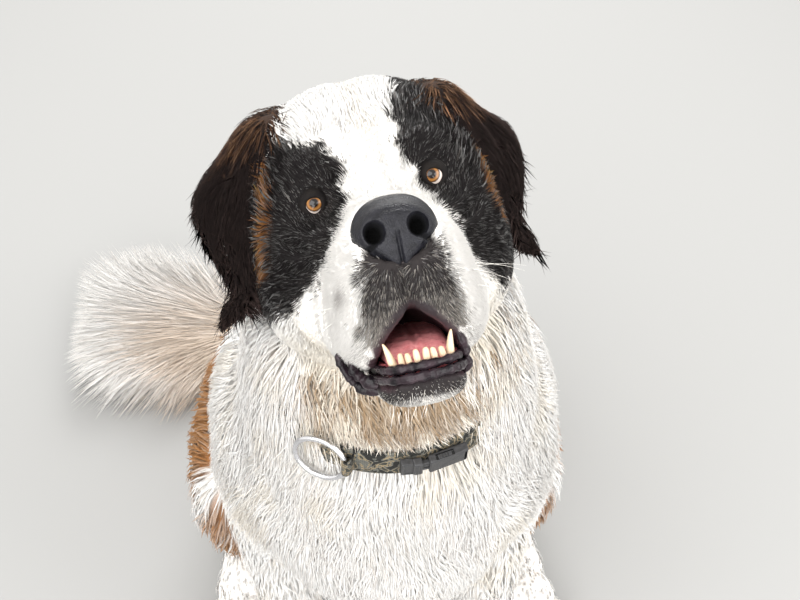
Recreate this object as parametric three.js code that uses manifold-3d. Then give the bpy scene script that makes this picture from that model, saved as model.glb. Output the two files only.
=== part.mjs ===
// A long-haired Saint Bernard, life size, sitting on the floor. It looks up with its mouth a little open
// and wears a collar. Millimetres, +Z up. The dog faces -Y and its left side is +X.
import * as THREE from "three";
import { mergeVertices } from "three/addons/utils/BufferGeometryUtils.js";
import Module from "manifold-3d";

const wasm = await Module();
wasm.setup();

// Driving dimensions
const gap = 0.3; // clearance between pieces that touch
const collarWidth = 25;
const collarThickness = 4;
const strapDepth = { throat: 5, side: 18, nape: 30 }; // how deep the strap lies in the coat
const ringRadius = 24;
const ringWire = 2.6;
const eyeRadius = 12.5;
const eyeSpacing = 96; // between the centres of the two eyes
const noseTip = new THREE.Vector3(-6, -178, 1064);
const headPitch = THREE.MathUtils.degToRad(-50.8); // the muzzle points up by this much
const headRoll = THREE.MathUtils.degToRad(-8.9); // the crown leans to the dog's right
const paw = { wide: 124, long: 146, high: 68 };
const bodyCoat = 40; // depth of the coat on the body, from the skin to the tips
const thighCoat = 30;
const lockSink = 11; // how far a lock's root reaches into the flesh
const mostFaces = 44; // of a lock that is cut to clear its neighbours

const rightSide = -1;
const leftSide = 1;
const up = new THREE.Vector3(0, 0, 1);
const sideways = new THREE.Vector3(1, 0, 0);
const backwards = new THREE.Vector3(0, 1, 0);
const turn = Math.PI * 2;
const radians = THREE.MathUtils.degToRad;

// Small seeded random numbers, so that every build is the same
let seed = 7;
function random() {
  seed = (seed * 16807) % 2147483647;
  return seed / 2147483647;
}

// A factor near 1, up to this much larger or smaller
function vary(amount) {
  return 1 + (random() * 2 - 1) * amount;
}

function vec(x, y, z) {
  return new THREE.Vector3(x, y, z);
}

// Solids and geometries
function solidOf(geometry) {
  const bare = geometry.clone();
  bare.deleteAttribute("normal");
  bare.deleteAttribute("uv");
  const merged = mergeVertices(bare, 1e-3);
  return new wasm.Manifold(
    new wasm.Mesh({
      numProp: 3,
      vertProperties: merged.attributes.position.array,
      triVerts: new Uint32Array(merged.index.array),
    }),
  );
}

function geometryOf(solid) {
  const mesh = solid.getMesh();
  const geometry = new THREE.BufferGeometry();
  geometry.setAttribute("position", new THREE.BufferAttribute(mesh.vertProperties.slice(), 3));
  geometry.setIndex(new THREE.BufferAttribute(mesh.triVerts.slice(), 1));
  return geometry;
}

// The same solid with its skin moved out a little, for cutting its neighbours clear of it
function swollen(solid, by = gap) {
  const geometry = geometryOf(solid);
  geometry.computeVertexNormals();
  const place = geometry.attributes.position;
  const normal = geometry.attributes.normal;
  for (let i = 0; i < place.count; i++) {
    place.setXYZ(
      i,
      place.getX(i) + normal.getX(i) * by,
      place.getY(i) + normal.getY(i) * by,
      place.getZ(i) + normal.getZ(i) * by,
    );
  }
  geometry.deleteAttribute("normal");
  return solidOf(geometry);
}

function join(...solids) {
  return solids.flat().reduce((all, one) => all.add(one));
}

function cut(solid, ...tools) {
  return tools.flat().reduce((rest, tool) => rest.subtract(tool), solid);
}

function largest(solid) {
  return solid.decompose().reduce((best, one) => (one.volume() > best.volume() ? one : best));
}

function moved(solid, matrix) {
  const geometry = geometryOf(solid);
  geometry.applyMatrix4(matrix);
  return solidOf(geometry);
}

function meshOf(name, solid, material) {
  const geometry = geometryOf(largest(solid)).toNonIndexed();
  geometry.computeVertexNormals();
  const mesh = new THREE.Mesh(geometry, material);
  mesh.name = name;
  return mesh;
}

// Where a limb's rounded ends have rings, as parts of the end's length. Hidden ends need fewer.
const fullCaps = [0.55, 0.9];
const plainCaps = [0.75];

// A smooth limb through oval stations { at, wide, deep }, both half sizes. Its options are: sides of a
// section, rings between stations, ends (how round), caps, square (over 2 for a squarer section), flat
// (a fixed direction along), broad (where wide points) and relief.
class Limb {
  constructor(stations, options) {
    const usual = { rings: 2, ends: [0.6, 0.6], caps: fullCaps, square: 2, broad: sideways, extra: 0 };
    Object.assign(this, usual, options);
    this.path = new THREE.CatmullRomCurve3(stations.map((s) => s.at));
    this.size = new THREE.CatmullRomCurve3(stations.map((s) => vec(s.wide, s.deep, 0)));
    this.count = (stations.length - 1) * this.rings;
  }

  frame(t) {
    const along = this.flat ? this.flat.clone() : this.path.getTangent(t);
    const across = this.broad.clone().addScaledVector(along, -this.broad.dot(along)).normalize();
    const depth = new THREE.Vector3().crossVectors(across, along);
    const size = this.size.getPoint(t);
    const wide = size.x + this.extra;
    const deep = size.y + this.extra;
    return { centre: this.path.getPoint(t), along, across, depth, wide, deep };
  }

  // A point on the skin: t runs 0 to 1 along the limb, and angle 0 is the left side, a quarter turn the belly
  point(t, angle, frame = this.frame(t), scale = 1, push = 0) {
    const round = (value) => Math.sign(value) * Math.abs(value) ** (2 / this.square);
    const away = frame.across.clone().multiplyScalar(round(Math.cos(angle)) * frame.wide * scale);
    away.addScaledVector(frame.depth, round(Math.sin(angle)) * frame.deep * scale);
    const p = frame.centre.clone().add(away).addScaledVector(frame.along, push);
    return this.relief ? p.addScaledVector(away.normalize(), reliefAt(this.relief, p) * scale) : p;
  }

  normal(t, angle) {
    const step = 0.02;
    const along = this.point(Math.min(t + step, 1), angle).sub(this.point(Math.max(t - step, 0), angle));
    const round = this.point(t, angle + step).sub(this.point(t, angle - step));
    const outward = new THREE.Vector3().crossVectors(round, along).normalize();
    const frame = this.frame(t);
    const away = this.point(t, angle, frame).sub(frame.centre);
    return outward.dot(away) < 0 ? outward.negate() : outward;
  }

  // The same limb with its skin further out
  grown(by) {
    return Object.assign(Object.create(Limb.prototype), this, { extra: this.extra + by });
  }

  solid() {
    const rows = [];
    const cap = (t, sign, length) => {
      const frame = this.frame(t);
      const reach = Math.min(frame.wide, frame.deep) * length;
      const made = this.caps.map((s) => this.ring(t, frame, Math.sqrt(1 - s * s), sign * reach * s));
      made.push([frame.centre.clone().addScaledVector(frame.along, sign * reach)]);
      return made;
    };
    rows.push(...cap(0, -1, this.ends[0]).reverse());
    for (let i = 0; i <= this.count; i++) rows.push(this.ring(i / this.count, this.frame(i / this.count)));
    rows.push(...cap(1, 1, this.ends[1]));
    return skin(rows);
  }

  ring(t, frame, scale = 1, push = 0) {
    return Array.from({ length: this.sides }, (_, j) =>
      this.point(t, ((j + 0.5) / this.sides) * turn, frame, scale, push),
    );
  }
}

// How far soft bumps and hollows, alike on both sides, move the skin outwards at a point
function reliefAt(bumps, p) {
  return bumps.reduce((sum, { at, size, push }) => {
    const off = vec(Math.abs(p.x), p.y, p.z).sub(at).divide(size);
    return sum + push * Math.exp(-off.lengthSq());
  }, 0);
}

// A closed surface over rows of points. A first or last row of one point is a pole. Where turned(j) is
// true, the faces between point j and the next are split the other way, so that thin forms don't cross.
function skin(rows, turned = () => false) {
  const points = rows.flat();
  const starts = [];
  rows.reduce((at, row) => (starts.push(at), at + row.length), 0);
  const faces = [];
  for (let i = 0; i + 1 < rows.length; i++) {
    const n = Math.max(rows[i].length, rows[i + 1].length);
    for (let j = 0; j < n; j++) {
      const a = starts[i] + (j % rows[i].length);
      const b = starts[i] + ((j + 1) % rows[i].length);
      const c = starts[i + 1] + (j % rows[i + 1].length);
      const d = starts[i + 1] + ((j + 1) % rows[i + 1].length);
      if (a !== b && c !== d && turned(j)) faces.push(a, b, d, a, d, c);
      else {
        if (a !== b) faces.push(a, b, c);
        if (c !== d) faces.push(b, d, c);
      }
    }
  }
  for (const [row, at, flip] of [[rows[0], 0, true], [rows.at(-1), starts.at(-1), false]]) {
    for (let j = 1; j + 1 < row.length; j++) {
      faces.push(at, ...(flip ? [at + j + 1, at + j] : [at + j, at + j + 1]));
    }
  }
  const geometry = new THREE.BufferGeometry().setFromPoints(points);
  geometry.setIndex(faces);
  const solid = solidOf(geometry);
  if (solid.volume() > 0) return solid;
  geometry.setIndex(faces.reverse());
  return solidOf(geometry);
}

// A ball stretched to three half sizes and turned
function ball(at, half, { sides = 12, rows = 8, euler = [0, 0, 0] } = {}) {
  const geometry = new THREE.SphereGeometry(1, sides, rows);
  geometry.rotateX(Math.PI / 2);
  const turned = new THREE.Quaternion().setFromEuler(new THREE.Euler(...euler));
  geometry.applyMatrix4(new THREE.Matrix4().compose(at, turned, vec(...half)));
  return solidOf(geometry);
}

function box(low, high) {
  const geometry = new THREE.BoxGeometry(high.x - low.x, high.y - low.y, high.z - low.z);
  geometry.translate((low.x + high.x) / 2, (low.y + high.y) / 2, (low.z + high.z) / 2);
  return solidOf(geometry);
}

const belowFloor = box(vec(-2000, -2000, -500), vec(2000, 2000, 0));

function oval(x, y, z, wide, deep) {
  return { at: vec(x, y, z), wide, deep };
}

// A lock of the long coat: a flat tapered form that leaves the flesh and settles at the coat's outline.
// It starts at t and angle on both limbs and runs by slide along them and by swing round them.
function lockForm(flesh, outline, { t, angle, slide, swing, wide, thick, lift = 0 }) {
  const places = [0, 0.36, 0.74, 1];
  const widths = [0.8, 1, 0.7];
  const path = places.map((s) => {
    const at = THREE.MathUtils.clamp(t + slide * s, 0, 1);
    const round = angle + swing * s;
    const rise = 1 - (1 - s) ** 1.5;
    const out = outline.normal(at, round);
    const p = flesh.point(at, round).addScaledVector(out, -lockSink).lerp(outline.point(at, round), rise);
    return { p: p.addScaledVector(out, lift * s * s), out };
  });
  const rows = widths.map((part, i) => {
    const { p, out } = path[i];
    const along = path[i + 1].p.clone().sub(path[Math.max(i - 1, 0)].p).normalize();
    const side = new THREE.Vector3().crossVectors(along, out).normalize();
    const face = new THREE.Vector3().crossVectors(side, along);
    const half = (wide / 2) * part;
    const high = thick * (1 - 0.45 * (i / widths.length));
    return [
      p.clone().addScaledVector(side, half),
      p.clone().addScaledVector(face, high * 0.6),
      p.clone().addScaledVector(side, -half),
      p.clone().addScaledVector(face, -high * 0.4),
    ];
  });
  return skin([...rows, [path.at(-1).p]], (j) => j % 2 === 1);
}

// The lock as long and as low as the room round it lets it be. A lock with no such room is cut clear,
// and left out where too little of it is left on the core.
function settled(core, flesh, outline, lock, room) {
  const made = (part, lift) =>
    lockForm(flesh, outline, {
      ...lock,
      slide: lock.slide * part,
      swing: lock.swing * part,
      lift: (lock.lift ?? 0) + lift,
    });
  for (const lift of [0, 10, 22]) {
    for (const part of [1, 0.8, 0.62]) {
      const bent = made(part, lift);
      if (room.every((solid) => bent.intersect(solid).isEmpty())) return bent;
    }
  }
  const whole = made(0.8, 14);
  const rest = largest(cut(whole, room));
  const rooted = rest.intersect(core).volume() > 0.03 * whole.volume();
  return rooted && rest.volume() > 0.5 * whole.volume() && rest.numTri() < mostFaces ? rest : null;
}

// Flesh with its locks grown on it, each clear of the room that its neighbours take
function coated(core, flesh, outline, locks, room) {
  const grown = locks.map((lock) => settled(core, flesh, outline, lock, room)).filter(Boolean);
  return join(core, grown);
}

// Rows of locks round a limb, set like roof tiles, all lying towards its start
function tiers(limb, { from, to, rows, spacing, length, wide, thick, swing }) {
  const reach = limb.path.getLength();
  return Array.from({ length: rows }, (_, i) => {
    const t = THREE.MathUtils.lerp(from, to, i / (rows - 1));
    const frame = limb.frame(t);
    const girth = ((frame.wide + frame.deep) / 2) * turn;
    const count = Math.round(girth / spacing);
    return Array.from({ length: count }, (_, j) => {
      const angle = ((j + (i % 2) / 2) / count) * turn + (random() - 0.5) * 0.04;
      return {
        t: t + (random() - 0.5) * 0.012,
        angle,
        slide: (-length / reach) * vary(0.14),
        swing: swing(angle) + (random() - 0.5) * 0.12,
        wide: Math.min(wide, (girth / count) * 0.97) * vary(0.05),
        thick: thick * vary(0.12),
      };
    });
  }).flat();
}

// Torso, from the rump on the floor to the base of the neck, out to the tips of the coat
const torsoLimb = new Limb(
  [
    oval(0, 520, 74, 132, 122),
    oval(0, 455, 180, 170, 156),
    oval(0, 372, 295, 168, 156),
    oval(0, 272, 405, 178, 182),
    oval(0, 165, 495, 190, 204),
    oval(0, 78, 575, 190, 204),
    oval(0, 22, 660, 170, 172),
  ],
  {
    sides: 16,
    rings: 1,
    ends: [0.7, 0.35],
    relief: [{ at: vec(0, -110, 530), size: vec(120, 110, 130), push: 42 }],
  },
);
const torsoFlesh = torsoLimb.grown(-bodyCoat / 2);

// Neck, from inside the torso to inside the head
const neckStations = [
  oval(0, 30, 640, 160, 160),
  oval(-1, 2, 715, 150, 147),
  oval(-4, -8, 790, 138, 134),
  oval(-10, -6, 860, 122, 114),
  oval(-18, -4, 915, 100, 92),
];
const neckOptions = { sides: 16, rings: 1, ends: [0.3, 0.3], caps: plainCaps };
const neckLimb = new Limb(neckStations, neckOptions);
const neckFlesh = new Limb(
  neckStations.map(({ at, wide, deep }) => ({
    at: at.clone().addScaledVector(backwards, (strapDepth.throat - strapDepth.nape) / 2),
    wide: wide - strapDepth.side,
    deep: deep - (strapDepth.nape + strapDepth.throat) / 2,
  })),
  neckOptions,
);

// Head in its own frame: +X left, +Y back from the nose, +Z towards the crown
const headMatrix = new THREE.Matrix4()
  .makeRotationFromEuler(new THREE.Euler(headPitch, headRoll, 0, "ZXY"))
  .setPosition(noseTip);

function headOval(back, top, bottom, wide) {
  return { at: vec(0, back, (top + bottom) / 2), wide, deep: (top - bottom) / 2 };
}

// Bumps and hollows of the head, from the eyes and brows to the flews and cheeks
const headRelief = [
  { at: vec(50, 108, 50), size: vec(20, 18, 17), push: -6 },
  { at: vec(44, 124, 84), size: vec(24, 20, 14), push: 7 },
  { at: vec(80, 130, 28), size: vec(26, 30, 26), push: 4 },
  { at: vec(52, 62, -72), size: vec(24, 34, 34), push: 8 },
  { at: vec(20, 18, -46), size: vec(14, 14, 20), push: 3 },
  { at: vec(0, 10, -40), size: vec(6, 20, 30), push: -4 },
  { at: vec(0, 150, 140), size: vec(12, 60, 40), push: -4 },
  { at: vec(42, 70, 26), size: vec(18, 34, 18), push: -6 },
  { at: vec(98, 190, -30), size: vec(34, 50, 46), push: 9 },
];

const headLimb = new Limb(
  [
    headOval(14, 24, -52, 36),
    headOval(30, 31, -78, 47),
    headOval(52, 36, -92, 55),
    headOval(78, 40, -98, 60),
    headOval(98, 50, -96, 65),
    headOval(112, 72, -91, 73),
    headOval(128, 104, -87, 84),
    headOval(148, 132, -86, 94),
    headOval(172, 151, -86, 102),
    headOval(205, 160, -87, 106),
    headOval(238, 147, -82, 102),
    headOval(264, 112, -64, 88),
  ],
  { sides: 18, ends: [0.4, 0.45], square: 2.3, flat: backwards, relief: headRelief },
);

const mouthLimb = new Limb(
  [
    headOval(-12, -52, -160, 30),
    headOval(30, -48, -160, 37),
    headOval(80, -44, -160, 41),
    headOval(128, -50, -150, 36),
  ],
  { sides: 10, ends: [0.2, 0.4], caps: plainCaps, flat: backwards },
);

const jawLimb = new Limb(
  [
    headOval(24, -98, -121, 26),
    headOval(48, -96, -121, 31),
    headOval(85, -84, -116, 35),
    headOval(125, -66, -108, 40),
    headOval(165, -50, -98, 46),
  ],
  { sides: 10, rings: 1, ends: [0.5, 0.3], caps: plainCaps, square: 2.3, flat: backwards },
);

const tongueLimb = new Limb(
  [
    headOval(34, -84, -97, 21),
    headOval(70, -70, -90, 24),
    headOval(105, -56, -84, 26),
    headOval(138, -44, -76, 28),
  ],
  { sides: 10, rings: 1, ends: [0.9, 0.2], caps: plainCaps, flat: backwards },
);

function eyeCentre(side) {
  return vec((side * eyeSpacing) / 2, 124, 50);
}

// A lid is a shell over the eyeball with an almond opening
function lids(side) {
  const at = eyeCentre(side);
  const shell = ball(at, [eyeRadius + 5, eyeRadius + 5, eyeRadius + 5], { sides: 9, rows: 6 });
  const opening = ball(at.clone().add(vec(side * 3, -14, -1)), [10.5, 13, 7], {
    sides: 8,
    rows: 6,
    euler: [0, side * 0.25, 0],
  });
  return { shell, opening };
}

const nosePad = new Limb(
  [headOval(2, 18, -20, 22), headOval(12, 26, -28, 31), headOval(30, 30, -26, 30)],
  { sides: 12, rings: 1, ends: [0.35, 0.2], square: 2.5, flat: backwards },
).solid();

function noseSolid() {
  const nostrils = [rightSide, leftSide].map((side) =>
    join(
      ball(vec(side * 14, -2, -2), [6.5, 12, 8.5], { sides: 8, rows: 5, euler: [0, side * 0.5, 0] }),
      ball(vec(side * 23, 4, -12), [8, 10, 4], { sides: 7, rows: 5, euler: [0, side * 0.35, 0] }),
    ),
  );
  const groove = ball(vec(0, -4, -20), [1.6, 8, 18], { sides: 6, rows: 6 });
  return cut(nosePad, ...nostrils, groove);
}

const nose = noseSolid();
const eyeHalf = [eyeRadius, eyeRadius, eyeRadius];
const eyes = {
  left: ball(eyeCentre(leftSide), eyeHalf, { sides: 10, rows: 7 }),
  right: ball(eyeCentre(rightSide), eyeHalf, { sides: 10, rows: 7 }),
};

function headSolid() {
  const covers = [rightSide, leftSide].map(lids);
  let head = join(headLimb.solid(), covers.map((c) => c.shell));
  head = cut(head, covers.map((c) => c.opening));
  head = cut(head, swollen(eyes.left), swollen(eyes.right));
  return cut(head, mouthLimb.solid(), swollen(nosePad));
}

// Six small incisors and two canines along the front of the lower jaw
function teeth() {
  const incisor = (i) => {
    const across = (i - 2.5) * 6.4;
    const back = 22 + across ** 2 * 0.02;
    const geometry = new THREE.CylinderGeometry(1.9, 3, 16, 6);
    geometry.rotateX(Math.PI / 2);
    geometry.translate(across, back, -95 + random() * 1.4);
    return solidOf(geometry);
  };
  const canine = (side) => {
    const geometry = new THREE.ConeGeometry(5.5, 32, 6);
    geometry.rotateX(Math.PI / 2);
    geometry.rotateY(side * 0.22);
    geometry.translate(side * 23, 29, -89);
    return solidOf(geometry);
  };
  return join(Array.from({ length: 6 }, (_, i) => incisor(i)), canine(rightSide), canine(leftSide));
}

// The room that the head takes with its clearance, for cutting its neighbours
function headRoom() {
  return swollen(headLimb.solid()).subtract(mouthLimb.grown(-gap).solid());
}

const headCore = headSolid();
const jaw = cut(join(jawLimb.solid(), teeth()), headRoom());
const tongue = cut(tongueLimb.solid(), swollen(jawLimb.solid()), swollen(teeth()), headRoom());

// A flap between two edges, bowed outwards, thick in the middle and thin at its rim
function flap(front, rear, { bow, thick, rows = 6, columns = 4 }) {
  const edges = [front, rear].map((points) => new THREE.CatmullRomCurve3(points));
  const grid = (side) =>
    Array.from({ length: rows + 1 }, (_, i) =>
      Array.from({ length: columns + 1 }, (_, j) => {
        const a = edges[0].getPoint(i / rows);
        const b = edges[1].getPoint(i / rows);
        const v = j / columns;
        const hang = edges[0].getTangent(i / rows);
        const facing = new THREE.Vector3().crossVectors(b.clone().sub(a), hang).normalize();
        const arch = Math.sin(v * Math.PI);
        const half = (thick / 2) * (0.3 + 0.7 * Math.sqrt(arch)) * (1 - 0.35 * (i / rows));
        return a.lerp(b, v).addScaledVector(facing, bow * arch + side * half);
      }),
    );
  const outer = grid(1);
  const inner = grid(-1);
  const rim = outer.map((row, i) => [...row, ...inner[i].slice().reverse()]);
  return skin(rim, (j) => j > columns);
}

// How far each ear's outer edge stands from the middle of the head, from its base to its tip
const earReach = { right: [46, 92, 122, 146, 140, 139], left: [46, 92, 122, 130, 116, 121] };

// The ear hangs by its own weight: back and down in the head's own frame
function earSolid(label, side) {
  const at = (x, back, high) => vec(side * x, back, high);
  const [base, flare, shoulder, elbow, lower, tip] = earReach[label];
  const front = [at(78, 150, 112), at(94, 156, 76), at(99, 166, 32), at(108, 190, 0), at(tip - 4, 226, -16)];
  const rear = [
    at(base, 206, 150),
    at(flare, 218, 142),
    at(shoulder, 226, 114),
    at(elbow, 230, 78),
    at(lower, 232, 34),
    at(tip, 232, -12),
  ];
  const blade = flap(front, rear, { bow: side * -13, thick: 13 });
  const root = ball(at(70, 186, 114), [30, 36, 30], { sides: 8, rows: 5 });
  return join(blade, root);
}

// Legs
function frontLegLimb(side) {
  return new Limb(
    [
      oval(side * 108, 26, 556, 72, 98),
      oval(side * 128, 62, 420, 62, 82),
      oval(side * 124, 44, 290, 50, 60),
      oval(side * 119, 14, 170, 43, 48),
      oval(side * 118, -6, 96, 42, 46),
    ],
    { sides: 10, ends: [0.9, 0.3], caps: plainCaps },
  );
}

function thighLimb(side) {
  return new Limb(
    [
      oval(side * 118, 490, 205, 88, 118),
      oval(side * 152, 400, 214, 94, 146),
      oval(side * 182, 295, 216, 88, 134),
      oval(side * 194, 205, 222, 72, 102),
    ],
    { sides: 12, ends: [0.4, 0.8] },
  );
}

function shankLimb(side) {
  return new Limb(
    [
      oval(side * 194, 194, 190, 52, 62),
      oval(side * 194, 270, 138, 48, 60),
      oval(side * 192, 360, 92, 42, 52),
      oval(side * 190, 425, 62, 38, 44),
    ],
    { sides: 10, rings: 1, ends: [0.4, 0.5], caps: plainCaps },
  );
}

function metatarsusLimb(side) {
  return new Limb(
    [
      oval(side * 191, 440, 46, 38, 40),
      oval(side * 193, 350, 34, 38, 38),
      oval(side * 198, 250, 32, 40, 38),
      oval(side * 203, 175, 34, 46, 40),
    ],
    { sides: 8, rings: 1, ends: [0.6, 0.4], caps: plainCaps },
  );
}

// A paw: four toes with claws in front of a pad. It points along -Y.
function pawSolid(at, { wide, long, high }) {
  const toes = [-1.5, -0.5, 0.5, 1.5].map((place) => {
    const forward = (Math.abs(place) < 1 ? -0.3 : -0.2) * long;
    const toe = at.clone().add(vec((place * wide) / 4, forward, high * 0.42));
    const claw = new THREE.ConeGeometry(4.5, 26, 4);
    claw.rotateX(Math.PI / 2 + 0.55);
    claw.rotateZ(Math.PI);
    const root = toe.clone().add(vec(place * 1.5, -long * 0.25, -high * 0.2));
    claw.translate(root.x, root.y, root.z);
    return join(ball(toe, [wide * 0.15, long * 0.26, high * 0.42], { sides: 6, rows: 4 }), solidOf(claw));
  });
  const back = at.clone().add(vec(0, long * 0.1, high * 0.45));
  return join(ball(back, [wide * 0.42, long * 0.4, high * 0.5], { sides: 8, rows: 5 }), toes);
}

function frontPawSolid(side) {
  const pastern = new Limb(
    [
      oval(side * 118, -2, 110, 41, 45),
      oval(side * 119, -14, 70, 44, 46),
      oval(side * 120, -28, 40, 48, 48),
    ],
    { sides: 8, rings: 1, ends: [0.3, 0.4], caps: plainCaps },
  );
  return join(pastern.solid(), pawSolid(vec(side * 120, -46, 0), paw));
}

const hindPaw = { wide: paw.wide * 0.94, long: paw.long * 0.96, high: paw.high * 0.94 };

function hindFootSolid(side) {
  return join(metatarsusLimb(side).solid(), pawSolid(vec(side * 208, 122, 0), hindPaw));
}

// The tail sweeps round to the dog's right and lies on the floor
const tailBaseLimb = new Limb(
  [
    oval(0, 556, 100, 44, 42),
    oval(-34, 628, 64, 44, 48),
    oval(-104, 668, 40, 42, 62),
    oval(-180, 692, 35, 38, 84),
  ],
  { sides: 10, ends: [0.3, 0.2], caps: plainCaps, broad: up },
);

const plumeStations = [
  oval(-170, 690, 38, 38, 72),
  oval(-235, 705, 38, 42, 110),
  oval(-310, 722, 38, 44, 138),
  oval(-385, 735, 36, 42, 142),
  oval(-440, 742, 32, 36, 118),
  oval(-478, 745, 26, 26, 70),
];
const plumeLimb = new Limb(plumeStations, { sides: 10, broad: up });
const plumeFlesh = new Limb(
  plumeStations.map(({ at, wide, deep }) => ({
    at: at.clone().setZ(wide * 0.64),
    wide: wide * 0.72,
    deep: deep * 0.45,
  })),
  { sides: 10, rings: 1, ends: [0.2, 0.2], caps: plainCaps, broad: up },
);

// Flesh of the body, each piece cut clear of the one that it grows from
const headClear = [headRoom(), swollen(jawLimb.solid())].map((one) => moved(one, headMatrix));
const neckCore = cut(neckFlesh.solid(), headClear);
const neckClear = swollen(neckFlesh.solid());
const torsoCore = cut(torsoFlesh.solid(), neckClear, belowFloor);
const torsoClear = [swollen(torsoFlesh.solid()), neckClear];

// Collar: a strap round the neck in a plane that is lower at the throat
const strapCentre = vec(-2, 0, 792);
const strapTilt = radians(14);

function strapSlab(high) {
  const slab = new THREE.BoxGeometry(600, 600, high);
  slab.rotateX(strapTilt);
  slab.translate(...strapCentre.toArray());
  return solidOf(slab);
}

function strapSolid(room = 0) {
  const sleeve = (by) => neckFlesh.grown(by).solid();
  const outer = sleeve(gap + collarThickness + room).intersect(strapSlab(collarWidth + 2 * room));
  return cut(outer, sleeve(gap - room));
}

// Where the strap's middle line passes at an angle round a limb, and which way faces out there
function bandPoint(limb, angle) {
  let low = 0;
  let high = 1;
  for (let i = 0; i < 30; i++) {
    const t = (low + high) / 2;
    const p = limb.point(t, angle).sub(strapCentre);
    const above = -p.y * Math.sin(strapTilt) + p.z * Math.cos(strapTilt);
    if (above > 0) high = t;
    else low = t;
  }
  return { t: low, at: limb.point(low, angle), out: limb.normal(low, angle) };
}

const frontAngle = turn / 4;
const buckleAngle = frontAngle - 0.24;
const ringAngle = frontAngle + 0.47;

function placed(geometry, { at, out }, lift) {
  const right = new THREE.Vector3().crossVectors(up, out).normalize();
  const above = new THREE.Vector3().crossVectors(out, right);
  const matrix = new THREE.Matrix4().makeBasis(right, above, out);
  matrix.setPosition(at.clone().addScaledVector(out, lift));
  return geometry.applyMatrix4(matrix);
}

// The buckle lies over the strap: a flat case with round corners
function buckleSolid() {
  const half = { x: 30, y: collarWidth / 2 - 1.8 };
  const round = 5;
  const outline = new THREE.Shape();
  outline.absarc(half.x - round, half.y - round, round, 0, turn / 4);
  outline.absarc(round - half.x, half.y - round, round, turn / 4, turn / 2);
  outline.absarc(round - half.x, round - half.y, round, turn / 2, (turn * 3) / 4);
  outline.absarc(half.x - round, round - half.y, round, (turn * 3) / 4, turn);
  const bevel = { bevelThickness: 1.5, bevelSize: 1.5, bevelSegments: 1 };
  const geometry = new THREE.ExtrudeGeometry(outline, { depth: 12, curveSegments: 2, ...bevel });
  const place = bandPoint(neckFlesh.grown(gap + collarThickness), buckleAngle);
  return cut(solidOf(placed(geometry, place, -4)), strapSolid(gap), neckClear);
}

// The lead ring lies on the coat over the strap, and a tab of webbing holds it by its inner side
const ringPlace = bandPoint(neckLimb, ringAngle);
const ringLift = ringWire + 1.5;
const tab = { across: 16, high: 20, deep: 26 };

function ringSolid(extra = 0) {
  const torus = new THREE.TorusGeometry(ringRadius, ringWire + extra, 6, 16);
  return solidOf(placed(torus, ringPlace, ringLift));
}

function tabSolid() {
  const geometry = new THREE.BoxGeometry(tab.across, tab.high, tab.deep);
  geometry.translate(ringRadius, 0, -tab.deep / 2 + ringWire + 3);
  return cut(solidOf(placed(geometry, ringPlace, ringLift)), ringSolid(gap), neckClear);
}

const strap = largest(join(strapSolid(), tabSolid()));
const buckle = buckleSolid();
const ring = ringSolid();

// Legs, feet and tail without their coat
const sides = { left: leftSide, right: rightSide };

function bodyPieces(side) {
  const frontLeg = cut(frontLegLimb(side).solid(), torsoClear);
  const frontPaw = cut(frontPawSolid(side), swollen(frontLegLimb(side).solid()), belowFloor);
  const flesh = [thighLimb(side).grown(-thighCoat / 2), shankLimb(side)].map((limb) => limb.solid());
  const hindLeg = cut(join(flesh), torsoClear, swollen(frontLegLimb(side).solid()), belowFloor);
  const hindFoot = cut(hindFootSolid(side), flesh.map((one) => swollen(one)), torsoClear, belowFloor);
  return { frontLeg, frontPaw, hindLeg, hindFoot };
}

const limbs = { left: bodyPieces(leftSide), right: bodyPieces(rightSide) };
const tailBase = cut(tailBaseLimb.solid(), torsoClear, belowFloor);
const plumeCore = cut(plumeFlesh.solid(), swollen(tailBaseLimb.solid()), belowFloor);

// Room that a piece needs for itself and its clearance
function room(...solids) {
  return solids.map(largest).map((solid) => solid.add(swollen(solid)));
}

const floorRoom = box(vec(-2000, -2000, -500), vec(2000, 2000, gap));

// The thigh's locks start on its upper side and hang down its outer side
function thighLocks(side) {
  const starts = [-80, -38, 4, 44];
  return [0.14, 0.5, 0.86].flatMap((t, row) =>
    starts.map((start) => ({
      t,
      angle: outerAngle(side, start + (row % 2) * 18),
      slide: -0.16 * vary(0.3),
      swing: side * 0.95 * vary(0.12),
      wide: 94 * vary(0.06),
      thick: 7 * vary(0.1),
    })),
  );
}

// An angle in degrees round a limb, counted from the dog's outer side
function outerAngle(side, degrees) {
  return side === leftSide ? radians(degrees) : Math.PI - radians(degrees);
}

// A front leg has locks that hang from the shoulder and a fringe down its rear
function frontLegLocks(side) {
  const shoulder = [0.03, 0.17].flatMap((t, row) =>
    [-58, -18, 22].map((start) => ({
      t,
      angle: outerAngle(side, start + row * 18),
      slide: 0.26 * vary(0.12),
      swing: (random() - 0.5) * 0.2,
      wide: 50 * vary(0.06),
      thick: 7,
      lift: 5,
    })),
  );
  const fringe = [0.4, 0.56, 0.72].map((t) => ({
    t,
    angle: outerAngle(side, 84 + random() * 12),
    slide: 0.17,
    swing: (random() - 0.5) * 0.3,
    wide: 38 * vary(0.1),
    thick: 6,
    lift: 20,
  }));
  return [...shoulder, ...fringe];
}

// The plume's locks leave the core on every side but the lower one and fan out towards the tip
function plumeLocks() {
  return [0.02, 0.22, 0.42, 0.62].flatMap((t, row) =>
    [-92, -47, -2, 43, 88].map((start) => ({
      t,
      angle: radians(start + (row % 2) * 17 - 8),
      slide: 0.36 * vary(0.12),
      swing: (random() - 0.5) * 0.2,
      wide: 58 * vary(0.08),
      thick: 8 * vary(0.1),
    })),
  );
}

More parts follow.
